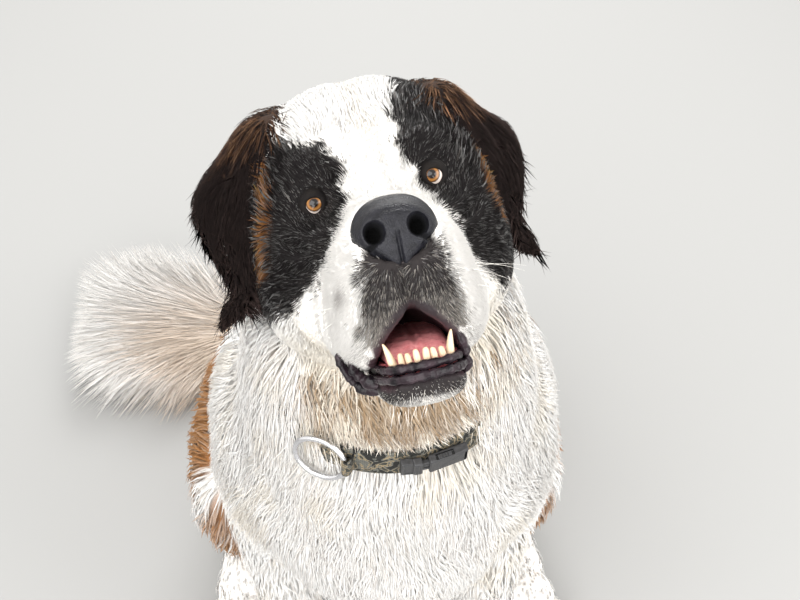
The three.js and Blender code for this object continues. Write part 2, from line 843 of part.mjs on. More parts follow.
function hindLegCoated(side, { frontLeg, hindLeg, hindFoot }) {
  const outline = thighLimb(side);
  const clear = [...room(torsoCore, frontLeg, hindFoot), floorRoom];
  return coated(hindLeg, outline.grown(-thighCoat / 2), outline, thighLocks(side), clear);
}

function frontLegCoated(side, { frontLeg, frontPaw }) {
  const outline = frontLegLimb(side);
  const clear = [...room(torsoCore, frontPaw), floorRoom];
  return coated(frontLeg, outline, outline, frontLegLocks(side), clear);
}

for (const [label, side] of Object.entries(sides)) {
  limbs[label].hindLeg = hindLegCoated(side, limbs[label]);
  limbs[label].frontLeg = frontLegCoated(side, limbs[label]);
}

const torsoTiers = tiers(torsoLimb, {
  from: 0.12,
  to: 0.97,
  rows: 7,
  spacing: 112,
  length: 180,
  wide: 106,
  thick: 8,
  swing: (angle) => Math.cos(angle) * 0.1,
});
const legRoom = Object.values(limbs).flatMap((one) => room(one.frontLeg, one.hindLeg, one.hindFoot));
const torsoRoom = [...room(neckCore, tailBase), ...legRoom, floorRoom];
const torso = coated(torsoCore, torsoFlesh, torsoLimb, torsoTiers, torsoRoom);

const ears = {
  left: cut(earSolid("left", leftSide), headRoom(), moved(neckClear, headMatrix.clone().invert())),
  right: cut(earSolid("right", rightSide), headRoom(), moved(neckClear, headMatrix.clone().invert())),
};

// The neck's locks start a little above or below the strap. None hangs over the collar at the throat,
// where the buckle and ring show.
function neckLocks() {
  const round = 10;
  const throat = radians(56);
  return [0.16, -0.08, -0.3].flatMap((above, row) =>
    Array.from({ length: round }, (_, i) => ((i + (row % 2) / 2) / round) * turn)
      .filter((angle) => above < 0 || Math.abs(angle - frontAngle) > throat)
      .map((angle) => ({
        t: bandPoint(neckLimb, angle).t + above,
        angle,
        slide: -0.38 * vary(0.1),
        swing: (random() - 0.5) * 0.15,
        wide: 84 * vary(0.05),
        thick: 7 * vary(0.1),
      })),
  );
}

const headPieces = [headCore, jaw, ears.left, ears.right].map((one) => moved(largest(one), headMatrix));
const neckRoom = room(torso, strap, buckle, ring, ...headPieces);
const neck = coated(neckCore, neckFlesh, neckLimb, neckLocks(), neckRoom);
const plumeRoom = [...room(tailBase, limbs.right.hindLeg), floorRoom];
const plume = coated(plumeCore, plumeFlesh, plumeLimb, plumeLocks(), plumeRoom);

const colours = {
  white: 0xf2ece2,
  brown: 0x8a4f24,
  black: 0x231a17,
  pink: 0xc4605f,
  steel: 0xbcbcc0,
  webbing: 0x2b2a26,
};

const headGroup = new THREE.Group();
headGroup.applyMatrix4(headMatrix);
const body = new THREE.Group();
body.add(headGroup);

function add(parent, name, solid, colour, { roughness = 0.85, metalness = 0 } = {}) {
  const material = new THREE.MeshStandardMaterial({ color: colours[colour], roughness, metalness });
  parent.add(meshOf(name, solid, material));
}

add(headGroup, "head", headCore, "white");
add(headGroup, "lower_jaw", jaw, "pink", { roughness: 0.5 });
add(headGroup, "tongue", tongue, "pink", { roughness: 0.4 });
add(headGroup, "nose", nose, "black", { roughness: 0.45 });
for (const [label, pieces] of Object.entries(limbs)) {
  add(headGroup, `eye_${label}`, eyes[label], "brown", { roughness: 0.1 });
  add(headGroup, `ear_${label}`, ears[label], "black");
  add(body, `front_leg_${label}`, pieces.frontLeg, "white");
  add(body, `front_paw_${label}`, pieces.frontPaw, "white");
  add(body, `hind_leg_${label}`, pieces.hindLeg, "brown");
  add(body, `hind_foot_${label}`, pieces.hindFoot, "white");
}
add(body, "neck", neck, "white");
add(body, "torso", torso, "brown");
add(body, "tail_base", tailBase, "brown");
add(body, "tail_plume", plume, "white");
add(body, "collar_strap", strap, "webbing");
add(body, "collar_buckle", buckle, "black", { roughness: 0.5 });
add(body, "collar_ring", ring, "steel", { roughness: 0.15, metalness: 1 });

// The origin is under the middle of the dog, on the floor
const bounds = new THREE.Box3().setFromObject(body, true);
const middle = bounds.getCenter(new THREE.Vector3());
body.position.set(-middle.x, -middle.y, -bounds.min.z);
const dog = new THREE.Group();
dog.add(body);

export default dog;
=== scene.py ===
import math

import bmesh
import bpy
import numpy as np
from mathutils import Matrix, Vector, kdtree
from mathutils.bvhtree import BVHTree


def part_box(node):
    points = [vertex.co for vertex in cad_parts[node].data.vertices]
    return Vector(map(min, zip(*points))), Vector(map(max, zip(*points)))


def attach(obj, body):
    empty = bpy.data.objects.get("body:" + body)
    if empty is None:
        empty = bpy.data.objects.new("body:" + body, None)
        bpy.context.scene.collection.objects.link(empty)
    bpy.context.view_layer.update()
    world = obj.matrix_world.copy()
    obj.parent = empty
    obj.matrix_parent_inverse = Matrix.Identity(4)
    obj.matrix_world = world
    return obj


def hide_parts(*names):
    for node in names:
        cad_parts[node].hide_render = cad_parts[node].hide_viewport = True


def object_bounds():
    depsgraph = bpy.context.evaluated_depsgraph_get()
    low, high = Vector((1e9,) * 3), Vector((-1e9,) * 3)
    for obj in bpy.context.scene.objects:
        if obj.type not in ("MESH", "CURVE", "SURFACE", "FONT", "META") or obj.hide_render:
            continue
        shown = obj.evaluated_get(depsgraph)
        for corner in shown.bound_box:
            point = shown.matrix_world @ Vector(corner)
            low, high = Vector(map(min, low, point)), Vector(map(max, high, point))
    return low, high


# A sitting long-haired Saint Bernard with a collar. Shapes are worked out in millimetres in the dog's own
# frame (it faces -Y, its left is +X, the floor is z 0) or in its head's frame, and placed in metres.
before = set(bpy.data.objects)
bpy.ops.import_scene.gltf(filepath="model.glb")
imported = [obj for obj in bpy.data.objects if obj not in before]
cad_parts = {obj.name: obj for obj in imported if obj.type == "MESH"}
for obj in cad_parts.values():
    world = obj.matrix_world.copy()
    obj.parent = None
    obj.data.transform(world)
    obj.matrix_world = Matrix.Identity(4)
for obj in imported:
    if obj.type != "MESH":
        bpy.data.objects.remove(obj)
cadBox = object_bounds()
print("frame loaded")

headPose = {"nose": (-6, -178, 1064), "pitch": -50.8, "roll": -8.9}
cameraPlace = {"at": (-54.24, -757.11, 1600), "down": 46, "aside": 5, "lens": 54}
eyeAt = {"across": 46, "back": 124, "high": 50, "tilt": 1.5, "radius": 12.5}

headTurn = (
    Matrix.Translation(headPose["nose"])
    @ Matrix.Rotation(math.radians(headPose["pitch"]), 4, "X")
    @ Matrix.Rotation(math.radians(headPose["roll"]), 4, "Y")
)
headAxes = np.array(headTurn.to_3x3())
headStart = np.array(headTurn.to_translation())


def fromHead(points):
    return np.asarray(points, float) @ headAxes.T + headStart


def toHead(points):
    return (np.asarray(points, float) - headStart) @ headAxes


# The middle of an eye in the head's frame, on the right (-1) or left (1)
def eyePlace(side):
    return np.array((side * eyeAt["across"], eyeAt["back"], eyeAt["high"] + side * eyeAt["tilt"]), float)


# The dog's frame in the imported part's frame, from where the eyes are
eyeBoxes = [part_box("eye_left"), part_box("eye_right")]
eyeMiddle = sum((np.array(low) + np.array(high) for low, high in eyeBoxes)) / 4 * 1000
partShift = eyeMiddle - fromHead((0, eyeAt["back"], eyeAt["high"]))


def toPart(points):
    return (np.asarray(points, float) + partShift) / 1000


def unit(vectors):
    vectors = np.asarray(vectors, float)
    return vectors / (np.linalg.norm(vectors, axis=-1, keepdims=True) + 1e-9)


def smoothStep(low, high, value):
    s = np.clip((value - low) / (high - low), 0, 1)
    return s * s * (3 - 2 * s)


# Soft noise between about -1 and 1, from waves in many directions
def ripple(points, size, seed, octaves=3):
    draw = np.random.default_rng(seed)
    total = np.zeros(len(points))
    for octave in range(octaves):
        for _ in range(5):
            way = unit(draw.normal(size=3)) * (2 * math.pi / size * 1.9**octave)
            total += np.sin(points @ way + draw.uniform(0, 6.28)) * 0.62**octave
    return total / 3.2


# Forms of the skin: sections are (x, y, z, half width, half depth) out to the coat's tips

limbs = {
    "torso": {
        "rows": [
            (0, 520, 74, 132, 122), (0, 455, 180, 170, 156), (0, 372, 295, 168, 156), (0, 272, 405, 178, 182),
            (0, 165, 495, 190, 204), (0, 78, 575, 190, 204), (0, 22, 660, 170, 172),
        ],
        "inside": (23, 23), "lie": -1, "ends": (0.7, 0.35), "length": 78,
    },
    "neck": {
        "rows": [
            (0, 30, 640, 160, 160), (-1, 2, 715, 150, 147), (-4, -8, 790, 138, 134), (-10, -6, 860, 122, 114),
            (-18, -4, 915, 100, 92),
        ],
        "inside": (19, 18), "lie": -1, "ends": (0.3, 0.3), "length": 58, "shift": (0, -3, 0),
    },
    "tailBase": {
        "rows": [
            (0, 556, 100, 44, 42), (-34, 628, 64, 44, 48), (-104, 668, 40, 42, 62), (-180, 692, 35, 38, 84),
        ],
        "inside": (14, 26), "lie": 1, "ends": (0.3, 0.2), "length": 90, "broad": (0, 0, 1),
    },
    "plume": {
        "rows": [
            (-170, 680, 38, 38, 92), (-235, 690, 38, 42, 128), (-310, 714, 38, 44, 144), (-380, 734, 36, 42, 140),
            (-415, 742, 32, 38, 118),
        ],
        "inside": (19, 76), "lie": 1, "ends": (0.2, 0.3), "length": 125, "broad": (0, 0, 1),
    },
}
for side, label in ((-1, "Right"), (1, "Left")):
    limbs["foreleg" + label] = {
        "rows": [
            (side * 108, 26, 556, 72, 98), (side * 128, 62, 420, 62, 82), (side * 124, 44, 290, 50, 60),
            (side * 119, 14, 170, 43, 48), (side * 118, -6, 96, 42, 46),
        ],
        "inside": (13, 15), "lie": 1, "ends": (0.9, 0.3), "length": 40,
    }
    limbs["pastern" + label] = {
        "rows": [(side * 118, -2, 110, 41, 45), (side * 119, -14, 70, 44, 46), (side * 120, -28, 40, 48, 40)],
        "inside": (9, 10), "lie": 1, "ends": (0.3, 0.4), "length": 24,
    }
    limbs["thigh" + label] = {
        "rows": [
            (side * 118, 490, 205, 88, 118), (side * 152, 400, 214, 94, 146), (side * 182, 295, 216, 88, 134),
            (side * 194, 205, 222, 72, 102),
        ],
        "inside": (17, 18), "lie": 0, "ends": (0.4, 0.8), "length": 60,
    }
    limbs["shank" + label] = {
        "rows": [
            (side * 194, 194, 190, 52, 62), (side * 194, 270, 138, 48, 60), (side * 192, 360, 92, 42, 52),
            (side * 190, 425, 62, 38, 44),
        ],
        "inside": (10, 11), "lie": 1, "ends": (0.4, 0.5), "length": 34,
    }
    limbs["instep" + label] = {
        "rows": [
            (side * 191, 440, 46, 38, 40), (side * 193, 350, 34, 38, 30), (side * 198, 250, 32, 40, 30),
            (side * 203, 175, 34, 46, 32),
        ],
        "inside": (7, 6), "lie": 1, "ends": (0.6, 0.4), "length": 22,
    }


# Sections of the head are (distance back from the nose, top, bottom, half width)
def headRows(*sections):
    return [(0, back, (top + bottom) / 2, wide, (top - bottom) / 2) for back, top, bottom, wide in sections]


headForms = {
    "head": {
        "rows": headRows(
            (14, 24, -52, 36), (30, 31, -78, 47), (52, 36, -92, 55), (78, 40, -98, 60), (98, 50, -96, 65),
            (112, 72, -91, 73), (128, 104, -87, 84), (148, 132, -86, 94), (172, 151, -86, 102),
            (205, 160, -87, 106), (238, 147, -82, 102), (264, 112, -64, 88),
        ),
        "inside": (4, 4), "lie": 1, "ends": (0.4, 0.45), "length": 15, "square": 2.3, "segments": 48,
    },
    "mouth": {
        "rows": headRows((-12, -52, -158, 31), (30, -50, -160, 36), (80, -46, -160, 40), (128, -50, -150, 36)),
        "inside": (0, 0), "lie": 1, "ends": (0.2, 0.4), "length": 5, "square": 1.55, "segments": 48,
    },
    "jaw": {
        "rows": headRows(
            (23, -93, -117, 24), (48, -91, -118, 30), (85, -80, -115, 35), (125, -62, -108, 41),
            (165, -48, -98, 47), (205, -30, -90, 60),
        ),
        "inside": (2, 2), "lie": 1, "ends": (0.5, 0.3), "length": 12, "square": 2.3,
    },
}

earForm = {
    "front": {
        -1: [(-72, 150, 114), (-77, 150, 102), (-84, 152, 84), (-92, 155, 60), (-98, 161, 38), (-104, 172, 10),
             (-117, 196, -6), (-139, 227, -14)],
        1: [(72, 150, 112), (76, 150, 102), (83, 152, 77), (84, 154, 52), (86, 158, 32), (93, 176, 13),
            (106, 202, 2), (134, 235, -9)],
    },
    "rear": {
        -1: [(-46, 206, 150), (-78, 208, 148), (-110, 222, 125), (-141, 230, 97), (-146, 233, 68), (-127, 236, 38),
             (-124, 235, 16), (-141, 231, -14)],
        1: [(46, 206, 150), (76, 204, 143), (105, 213, 118), (132, 226, 100), (138, 228, 68), (125, 228, 38),
            (126, 232, 14), (136, 236, -9)],
    },
    "bow": 12, "crease": 6, "thick": 7, "root": {"at": (66, 184, 108), "half": (28, 34, 30)},
}

# Across, along, width, length and height of a paw, and its toes' places across it in quarters of its width
pawForm = {
    "front": (120, -46, 124, 146, 68), "hind": (208, 122, 117, 140, 65), "inside": 5, "toes": (-1.5, -0.5, 0.5, 1.5),
}


def between(rows, steps):
    rows = np.array(rows, float)
    p = np.vstack([2 * rows[0] - rows[1], rows, 2 * rows[-1] - rows[-2]])
    found = []
    for i in range(1, len(p) - 2):
        for s in np.linspace(0, 1, steps, endpoint=False):
            found.append(
                0.5 * (2 * p[i] + (p[i + 1] - p[i - 1]) * s
                       + (2 * p[i - 1] - 5 * p[i] + 4 * p[i + 1] - p[i + 2]) * s**2
                       + (3 * p[i] - p[i - 1] - 3 * p[i + 1] + p[i + 2]) * s**3)
            )
    found.append(p[-2])
    return np.array(found)


hints = {"at": [], "lie": [], "depth": [], "length": [], "part": []}  # what the coat does at each form's surface
partNames = []


# A tube of rings, one for each section: place gives where the points of a unit circle go
def tube(bm, sections, segments, place, capped=False, closed=False, filled=False):
    rings = []
    for i, section in enumerate(sections):
        ends = capped and i in (0, len(sections) - 1)
        made = bmesh.ops.create_circle(bm, cap_ends=ends, segments=segments, radius=1)
        for k, v in enumerate(made["verts"]):
            v.co = Vector(place(section, v, k))
        rings.append(list({e for v in made["verts"] for e in v.link_edges}))
    for a, b in zip(rings, rings[1:] + rings[:closed]):
        bmesh.ops.bridge_loops(bm, edges=a + b)
    for ring in (rings[0], rings[-1]) if filled else ():
        bmesh.ops.contextual_create(bm, geom=ring)


# A loft of rings through a limb's sections. It also notes the lie and depth of the coat at its surface.
def loft(bm, name, form, head=False, note=True):
    rows = between(form["rows"], 5)
    centres, sizes = rows[:, :3] + np.array(form.get("shift", (0, 0, 0))), rows[:, 3:]
    along = unit(np.gradient(centres, axis=0)) if not head else np.tile((0.0, 1.0, 0.0), (len(rows), 1))
    broad = np.array(form.get("broad", (1, 0, 0)), float)
    segments, square = form.get("segments", 32), form.get("square", 2)
    inside = np.array(form["inside"], float)
    across = unit(broad - (along @ broad)[:, None] * along)
    deep = np.cross(across, along)
    sections = []
    reach = [min(sizes[i] - inside) * form["ends"][0 if i == 0 else 1] for i in (0, -1)]
    for s in (0.98, 0.85, 0.6, 0.3):
        sections.append((0, math.sqrt(1 - s * s), -reach[0] * s))
    sections += [(i, 1, 0) for i in range(len(rows))]
    for s in (0.3, 0.6, 0.85, 0.98):
        sections.append((len(rows) - 1, math.sqrt(1 - s * s), reach[1] * s))

    def place(section, v, _):
        i, scale, push = section
        outer, inner = sizes[i], sizes[i] - inside
        c, s = (math.copysign(abs(w) ** (2 / square), w) for w in v.co.xy)
        away = across[i] * c * inner[0] + deep[i] * s * inner[1]
        at = centres[i] + away * scale + along[i] * push
        at = Vector(fromHead(at)) if head else Vector(at)
        if note:
            depth = math.hypot(c * outer[0], s * outer[1]) - math.hypot(c * inner[0], s * inner[1])
            noteCoat(name, at, along[i] * form["lie"], depth, form["length"], head)
        return at

    tube(bm, sections, segments, place, filled=True)


def noteCoat(name, at, lie, depth, length, head=False):
    if name not in partNames:
        partNames.append(name)
    hints["at"].append(tuple(at))
    hints["lie"].append(tuple(headAxes @ np.array(lie)) if head else tuple(lie))
    hints["depth"].append(depth)
    hints["length"].append(length)
    hints["part"].append(partNames.index(name))


def newObject(name, data):
    made = bpy.data.objects.new(name, data)
    bpy.context.scene.collection.objects.link(made)
    return made


def meshObject(name, bm, smooth=True):
    bmesh.ops.recalc_face_normals(bm, faces=bm.faces[:])
    mesh = bpy.data.meshes.new(name)
    bm.to_mesh(mesh)
    bm.free()
    if smooth:
        mesh.shade_smooth()
    return newObject(name, mesh)


# Applies modifiers given as (kind, settings) and keeps the result as the object's own mesh
def applied(made, *steps):
    for kind, settings in steps:
        modifier = made.modifiers.new(kind.title(), kind)
        for key, value in settings.items():
            setattr(modifier, key, value)
    view = bpy.context.evaluated_depsgraph_get()
    mesh = bpy.data.meshes.new_from_object(made.evaluated_get(view))
    old = made.data
    made.modifiers.clear()
    made.data = mesh
    bpy.data.meshes.remove(old)
    return made


def joined(name, parts):
    bm = bmesh.new()
    for part in parts:
        bm.from_mesh(part.data)
        bpy.data.objects.remove(part)
    return meshObject(name, bm)


def readAll(rows, key, wide, kind=float):
    values = np.zeros(len(rows) * wide, kind)
    rows.foreach_get(key, values)
    return values.reshape(-1, wide)


def points(mesh):
    return readAll(mesh.vertices, "co", 3)


def setPoints(mesh, co):
    mesh.vertices.foreach_set("co", np.ascontiguousarray(co, dtype=np.float32).ravel())
    mesh.update()


def normals(mesh):
    return readAll(mesh.vertex_normals, "vector", 3)


def remesh(voxel, *more):
    return ("REMESH", {"mode": "VOXEL", "voxel_size": voxel, "use_smooth_shade": True}), *more


# Body without head and feet: coarse, so that its parts flow into one another
bodyBm = bmesh.new()
for name in limbs:
    if not name.startswith(("pastern", "instep", "plume")):
        loft(bodyBm, name, limbs[name])
body = applied(meshObject("body", bodyBm), *remesh(11, ("SMOOTH", {"factor": 0.6, "iterations": 9})))
print("body", len(body.data.vertices))

# Feet
def ellipsoid(bm, at, half, turn=(0, 0, 0), segments=20):
    place = Matrix.Translation(at) @ Matrix.Rotation(turn[2], 4, "Z") @ Matrix.Rotation(turn[0], 4, "X")
    bmesh.ops.create_uvsphere(
        bm, u_segments=segments, v_segments=segments // 2, radius=1, matrix=place @ Matrix.Diagonal((*half, 1))
    )


# The two middle toes reach further ahead
def toeForward(place, long):
    return (-0.3 if abs(place) < 1 else -0.2) * long


def paw(bm, side, x, y, wide, long, high):
    inside = pawForm["inside"]
    at = np.array((side * x, y, 0.0))
    for place in pawForm["toes"]:
        toe = at + (place * wide / 4, toeForward(place, long), high * 0.42)
        half = np.array((wide * 0.15 + 2, long * 0.26, high * 0.42)) - inside
        ellipsoid(bm, toe, half, (0.12, 0, -place * 0.08))
        ellipsoid(bm, toe + (0, long * 0.04, high * 0.14), half * (0.86, 0.62, 0.92))
        ellipsoid(bm, toe + (place * 1.2, -long * 0.13, -high * 0.12), half * (0.72, 0.5, 0.62))
    ellipsoid(bm, at + (0, long * 0.1, high * 0.45), np.array((wide * 0.42, long * 0.38, high * 0.48)) - inside)


feetBm = bmesh.new()
for name in limbs:
    if name.startswith(("pastern", "instep", "plume")):
        loft(feetBm, name, limbs[name])
for side in (-1, 1):
    for pair in ("front", "hind"):
        paw(feetBm, side, *pawForm[pair])
feet = applied(meshObject("feet", feetBm), *remesh(4, ("SMOOTH", {"factor": 0.5, "iterations": 2})))
for p in points(feet.data)[::23]:
    if p[2] < 75 and -160 < p[1] < 200 and 50 < abs(p[0]) < 290:
        noteCoat("paw", p, (0, -0.8, -0.35), 5, 14)

# Head, jaw and ears
headBm = bmesh.new()
loft(headBm, "head", headForms["head"], head=True)
head = meshObject("head", headBm)
mouthBm = bmesh.new()
loft(mouthBm, "mouth", headForms["mouth"], head=True)
mouth = meshObject("mouth", mouthBm)
applied(head, ("BOOLEAN", {"object": mouth, "operation": "DIFFERENCE", "solver": "EXACT"}))
bpy.data.objects.remove(mouth)


def ear(bm, side):
    rows, columns = 30, 20
    edges = [between(earForm[edge][side], 20) for edge in ("front", "rear")]
    made = bmesh.ops.create_grid(bm, x_segments=columns, y_segments=rows, size=1)
    for v in made["verts"]:
        t, across = (v.co.y + 1) / 2, (v.co.x + 1) / 2
        a, b = (np.array([np.interp(t * (len(e) - 1), np.arange(len(e)), e[:, k]) for k in range(3)]) for e in edges)
        arch = math.sin(across * math.pi) * min(1, 3.5 * (1 - t))
        crease = math.exp(-(((across - 0.5 + 0.1 * t) / 0.09) ** 2)) * math.sin(t * math.pi) ** 0.5
        ripples = math.sin(across * 9 + t * 5) * 1.6 * t
        facing = unit(np.cross(b - a, (0, 0.4, -1))) * side
        p = a + (b - a) * across - facing * (earForm["bow"] * arch - earForm["crease"] * crease + ripples)
        v.co = Vector(fromHead(p))
        noteCoat("ear", v.co, (side * 0.12, 0.42, -1), 4, 18, head=True)
    faces = list({f for v in made["verts"] for f in v.link_faces})
    bmesh.ops.solidify(bm, geom=faces, thickness=earForm["thick"])
    root = earForm["root"]
    made = bmesh.ops.create_uvsphere(bm, u_segments=20, v_segments=12, radius=1)
    for v in made["verts"]:
        p = np.array(root["at"]) + np.array(v.co) * root["half"]
        v.co = Vector(fromHead(p * (side, 1, 1)))
        noteCoat("ear", v.co, (0, 0.45, -1), 5, 22, head=True)


partBm = bmesh.new()
loft(partBm, "jaw", headForms["jaw"], head=True)
for side in (-1, 1):
    ear(partBm, side)
skin = joined("skin", [body, feet, head, meshObject("jawAndEars", partBm)])
applied(skin, *remesh(3.2, ("SMOOTH", {"factor": 0.5, "iterations": 3})))
print("skin", len(skin.data.vertices))

# Relief of the head, pressed into the skin along its normals, alike on both sides

headRelief = [  # place in the head's frame, size, push
    ((50, 106, 52), (20, 20, 17), -6), ((42, 120, 82), (26, 22, 13), 8), ((80, 130, 28), (26, 30, 26), 4),
    ((54, 60, -72), (24, 36, 34), 8), ((20, 16, -46), (15, 14, 20), 4), ((0, 8, -40), (5, 22, 32), -5),
    ((0, 148, 138), (11, 60, 40), -4), ((44, 72, 24), (18, 34, 18), -6), ((98, 190, -30), (34, 50, 46), 9),
    ((52, 98, 22), (20, 16, 9), 4), ((30, 96, 40), (12, 16, 16), -3), ((64, 86, -20), (12, 26, 30), -5),
    ((26, 60, 34), (12, 40, 10), 3), ((78, 112, -52), (22, 28, 26), 6), ((22, 124, 96), (14, 20, 20), 4),
]

headFolds = [  # a line in the head's frame, width, push: creases are negative
    ([(24, 110, 62), (40, 112, 78), (58, 118, 80), (76, 130, 66)], 4.5, -3.2),
    ([(28, 118, 84), (44, 124, 98), (64, 132, 96), (84, 142, 76)], 5, -2.6),
    ([(30, 100, 30), (44, 100, 16), (62, 108, 16), (78, 120, 34)], 4.5, -3.2),
    ([(40, 94, 12), (56, 98, -2), (74, 112, 2), (90, 130, 16)], 5, -2.4),
    ([(46, 84, 12), (58, 82, -14), (64, 84, -44), (62, 90, -78)], 6, -4.5),
    ([(78, 118, 0), (84, 120, -26), (82, 122, -56), (74, 130, -84)], 7, -3.4),
    ([(14, 98, 46), (12, 112, 74), (12, 136, 112)], 5, -1.8),
]


# How far each point is pushed out by rounded lumps, alike on both sides
def lumps(p, relief):
    return sum(amount * np.exp(-(((p - at) / size) ** 2).sum(1)) for at, size, amount in relief)


def sculptHead(co, out):
    local = toHead(co)
    near = (local[:, 1] < 300) & (local[:, 2] > -140) & (np.abs(local[:, 0]) < 160)
    p = np.column_stack([np.abs(local[near, 0]), local[near, 1:]])
    push = lumps(p, headRelief)
    for line, wide, amount in headFolds:
        path = between(line, 8)
        gap = np.min(np.linalg.norm(p[:, None, :] - path[None], axis=2), axis=1)
        push += amount * np.exp(-((gap / wide) ** 2)) - amount * 0.45 * np.exp(-(((gap - wide * 2) / wide) ** 2))
    co[near] += out[near] * push[:, None]
    return co


hollowForm = {"eye": (10.5, 9.5), "start": 4, "deep": 12, "nose": (25, 22), "noseBack": 31}


# Hollows the skin where the eyeballs sit, and behind the nose, so that its nostrils look into the dark
def hollowed(co):
    local = toHead(co)
    for side in (-1, 1):
        off = local - eyePlace(side)
        wide = np.linalg.norm(off[:, [0, 2]] / hollowForm["eye"], axis=1)
        inside = (wide < 1) & (np.abs(off[:, 1]) < 32)
        depth = np.sqrt(np.clip(1 - wide[inside] ** 2, 0, 1))
        bottom = eyeAt["back"] - hollowForm["start"] + hollowForm["deep"] * depth
        local[inside, 1] += np.clip(bottom - local[inside, 1], 0, None) * depth
    back = hollowForm["noseBack"]
    flat = np.linalg.norm((local[:, [0, 2]] - (0, 2)) / hollowForm["nose"], axis=1)
    local[:, 1] += np.clip(back - local[:, 1], 0, None) * smoothStep(1, 0.85, flat) * (local[:, 1] < back)
    return fromHead(local)


bodyRelief = [  # place, size, push: chest, shoulder, hip and the hollow in front of the thigh
    ((0, -110, 530), (120, 110, 130), 40), ((150, 60, 560), (50, 80, 110), 10),
    ((170, 350, 330), (50, 60, 60), -8), ((0, 300, 560), (36, 160, 140), -5),
]


def sculptBody(co, out):
    return co + out * lumps(np.column_stack([np.abs(co[:, 0]), co[:, 1:]]), bodyRelief)[:, None]


co = points(skin.data)
co = sculptBody(co, normals(skin.data))
co = sculptHead(co, normals(skin.data))
co = hollowed(co)
co[:, 2] = np.maximum(co[:, 2], 1.0)
setPoints(skin.data, co)

# The body keeps fewer faces than the head, ears and feet
coarse = skin.vertex_groups.new(name="coarse")
local = toHead(co)
fine = (local[:, 1] < 235) & (local[:, 2] > -135) & (np.abs(local[:, 0]) < 165)
coarse.add(np.nonzero(~fine)[0].tolist(), 1.0, "REPLACE")
applied(skin, ("DECIMATE", {"ratio": 0.33, "vertex_group": "coarse", "vertex_group_factor": 40}))
skin.vertex_groups.clear()
skin.data.shade_smooth()
print("skin with relief", len(skin.data.polygons), int(fine.sum()))

# The coat's lie, depth and length at every point of the skin

co, out = points(skin.data), normals(skin.data)
local = toHead(co)
tree = kdtree.KDTree(len(hints["at"]))
for i, at in enumerate(hints["at"]):
    tree.insert(at, i)
tree.balance()
nearest = np.array([tree.find(p)[1] for p in co])
part = np.array(hints["part"])[nearest]
lie = np.array(hints["lie"])[nearest]
depth = np.array(hints["depth"])[nearest]
length = np.array(hints["length"], float)[nearest]


def isPart(*names):
    found = np.zeros(len(part), bool)
    for i, name in enumerate(partNames):
        if name.startswith(names):
            found |= part == i
    return found


onHead = isPart("head", "jaw", "mouth", "ear")
onEar = isPart("ear")
onPlume = isPart("plume")

# The head's coat runs back from the nose, up over the forehead and down over the cheeks and lips
x, y, z = local.T
headWay = np.stack([
    0.28 * np.sign(x) * smoothStep(5, 40, np.abs(x)) * smoothStep(0, -40, z) + 0.12 * np.sign(x),
    np.ones(len(x)) - 0.75 * smoothStep(45, 5, y) * smoothStep(-15, -40, z),
    0.75 * smoothStep(70, 100, y) * smoothStep(20, 60, z) - 0.75 * smoothStep(0, -50, z),
], axis=1)
turnHead = headWay @ headAxes.T
onlyHead = isPart("head", "jaw", "mouth")
lie[onlyHead] = turnHead[onlyHead]
lie[isPart("thigh")] = unit((0, 0.35, -1))
chest = isPart("torso", "neck")
lie[chest] = unit(lie[chest] + (0, 0, -0.4))
middle = np.interp(co[onPlume][:, 0], (-415, -310, -170), (742, 714, 680))
fan = np.clip((co[onPlume][:, 1] - middle) / 42, -1.3, 1.3)[:, None]
lie[onPlume] = unit(lie[onPlume] + fan * (0, 1.0, 0))

edges = readAll(skin.data.edges, "vertices", 2, int)
both = np.vstack([edges, edges[:, ::-1]])
count = np.bincount(both[:, 0], minlength=len(co))


def softened(values, times):
    values = values.reshape(len(co), -1)
    for _ in range(times):
        near = np.stack([np.bincount(both[:, 0], values[both[:, 1], k], len(co)) for k in range(values.shape[1])], 1)
        values = 0.4 * values + 0.6 * near / np.maximum(count, 1)[:, None]
    return values


lie = softened(unit(lie), 14)
freeLie = unit(lie)
depth, length = softened(depth, 10)[:, 0], softened(length, 10)[:, 0]
lie = unit(lie - (lie * out).sum(1, keepdims=True) * out)

# Markings: the skin and the coat take their colours from here

markings = {
    "white": (0.95, 0.92, 0.875), "cream": (0.90, 0.79, 0.62), "stain": (0.25, 0.135, 0.052),
    "black": (0.006, 0.005, 0.005), "brown": (0.28, 0.12, 0.042), "mahogany": (0.14, 0.055, 0.020),
    "grey": (0.30, 0.27, 0.25), "ear": (0.008, 0.0055, 0.005), "leather": (0.03, 0.024, 0.026),
    "tan": (0.68, 0.47, 0.30), "umber": (0.06, 0.030, 0.016), "charcoal": (0.020, 0.017, 0.017),
    "silver": (0.52, 0.47, 0.41), "orange": (0.17, 0.066, 0.020),
    "lip": (0.05, 0.03, 0.035),
}
# Outlines across and up the face in the head's frame, seen from the front
patchOutlines = {
    "right": [
        (-19, 62), (-23, 80), (-32, 92), (-47, 99), (-62, 101), (-72, 112), (-92, 96), (-99, 60), (-108, 20),
        (-116, -10), (-100, -26), (-80, -27), (-66, -20), (-54, -10), (-42, 4), (-30, 26), (-22, 44),
    ],
    "left": [
        (40, 170), (35, 150), (30, 122), (25, 97), (24, 80), (29, 66), (33, 50), (38, 34), (44, 16), (52, -4),
        (62, -24), (74, -38), (92, -36), (112, -18), (122, 30), (120, 170),
    ],
}
# Narrow orange brown stripes in front of the ears
stripeLines = {
    "right": [(-75, 88), (-79, 68), (-83, 49), (-89, 31), (-93, 8)],
    "left": [(78, 108), (86, 84), (89, 60), (89, 34), (95, 14)],
}


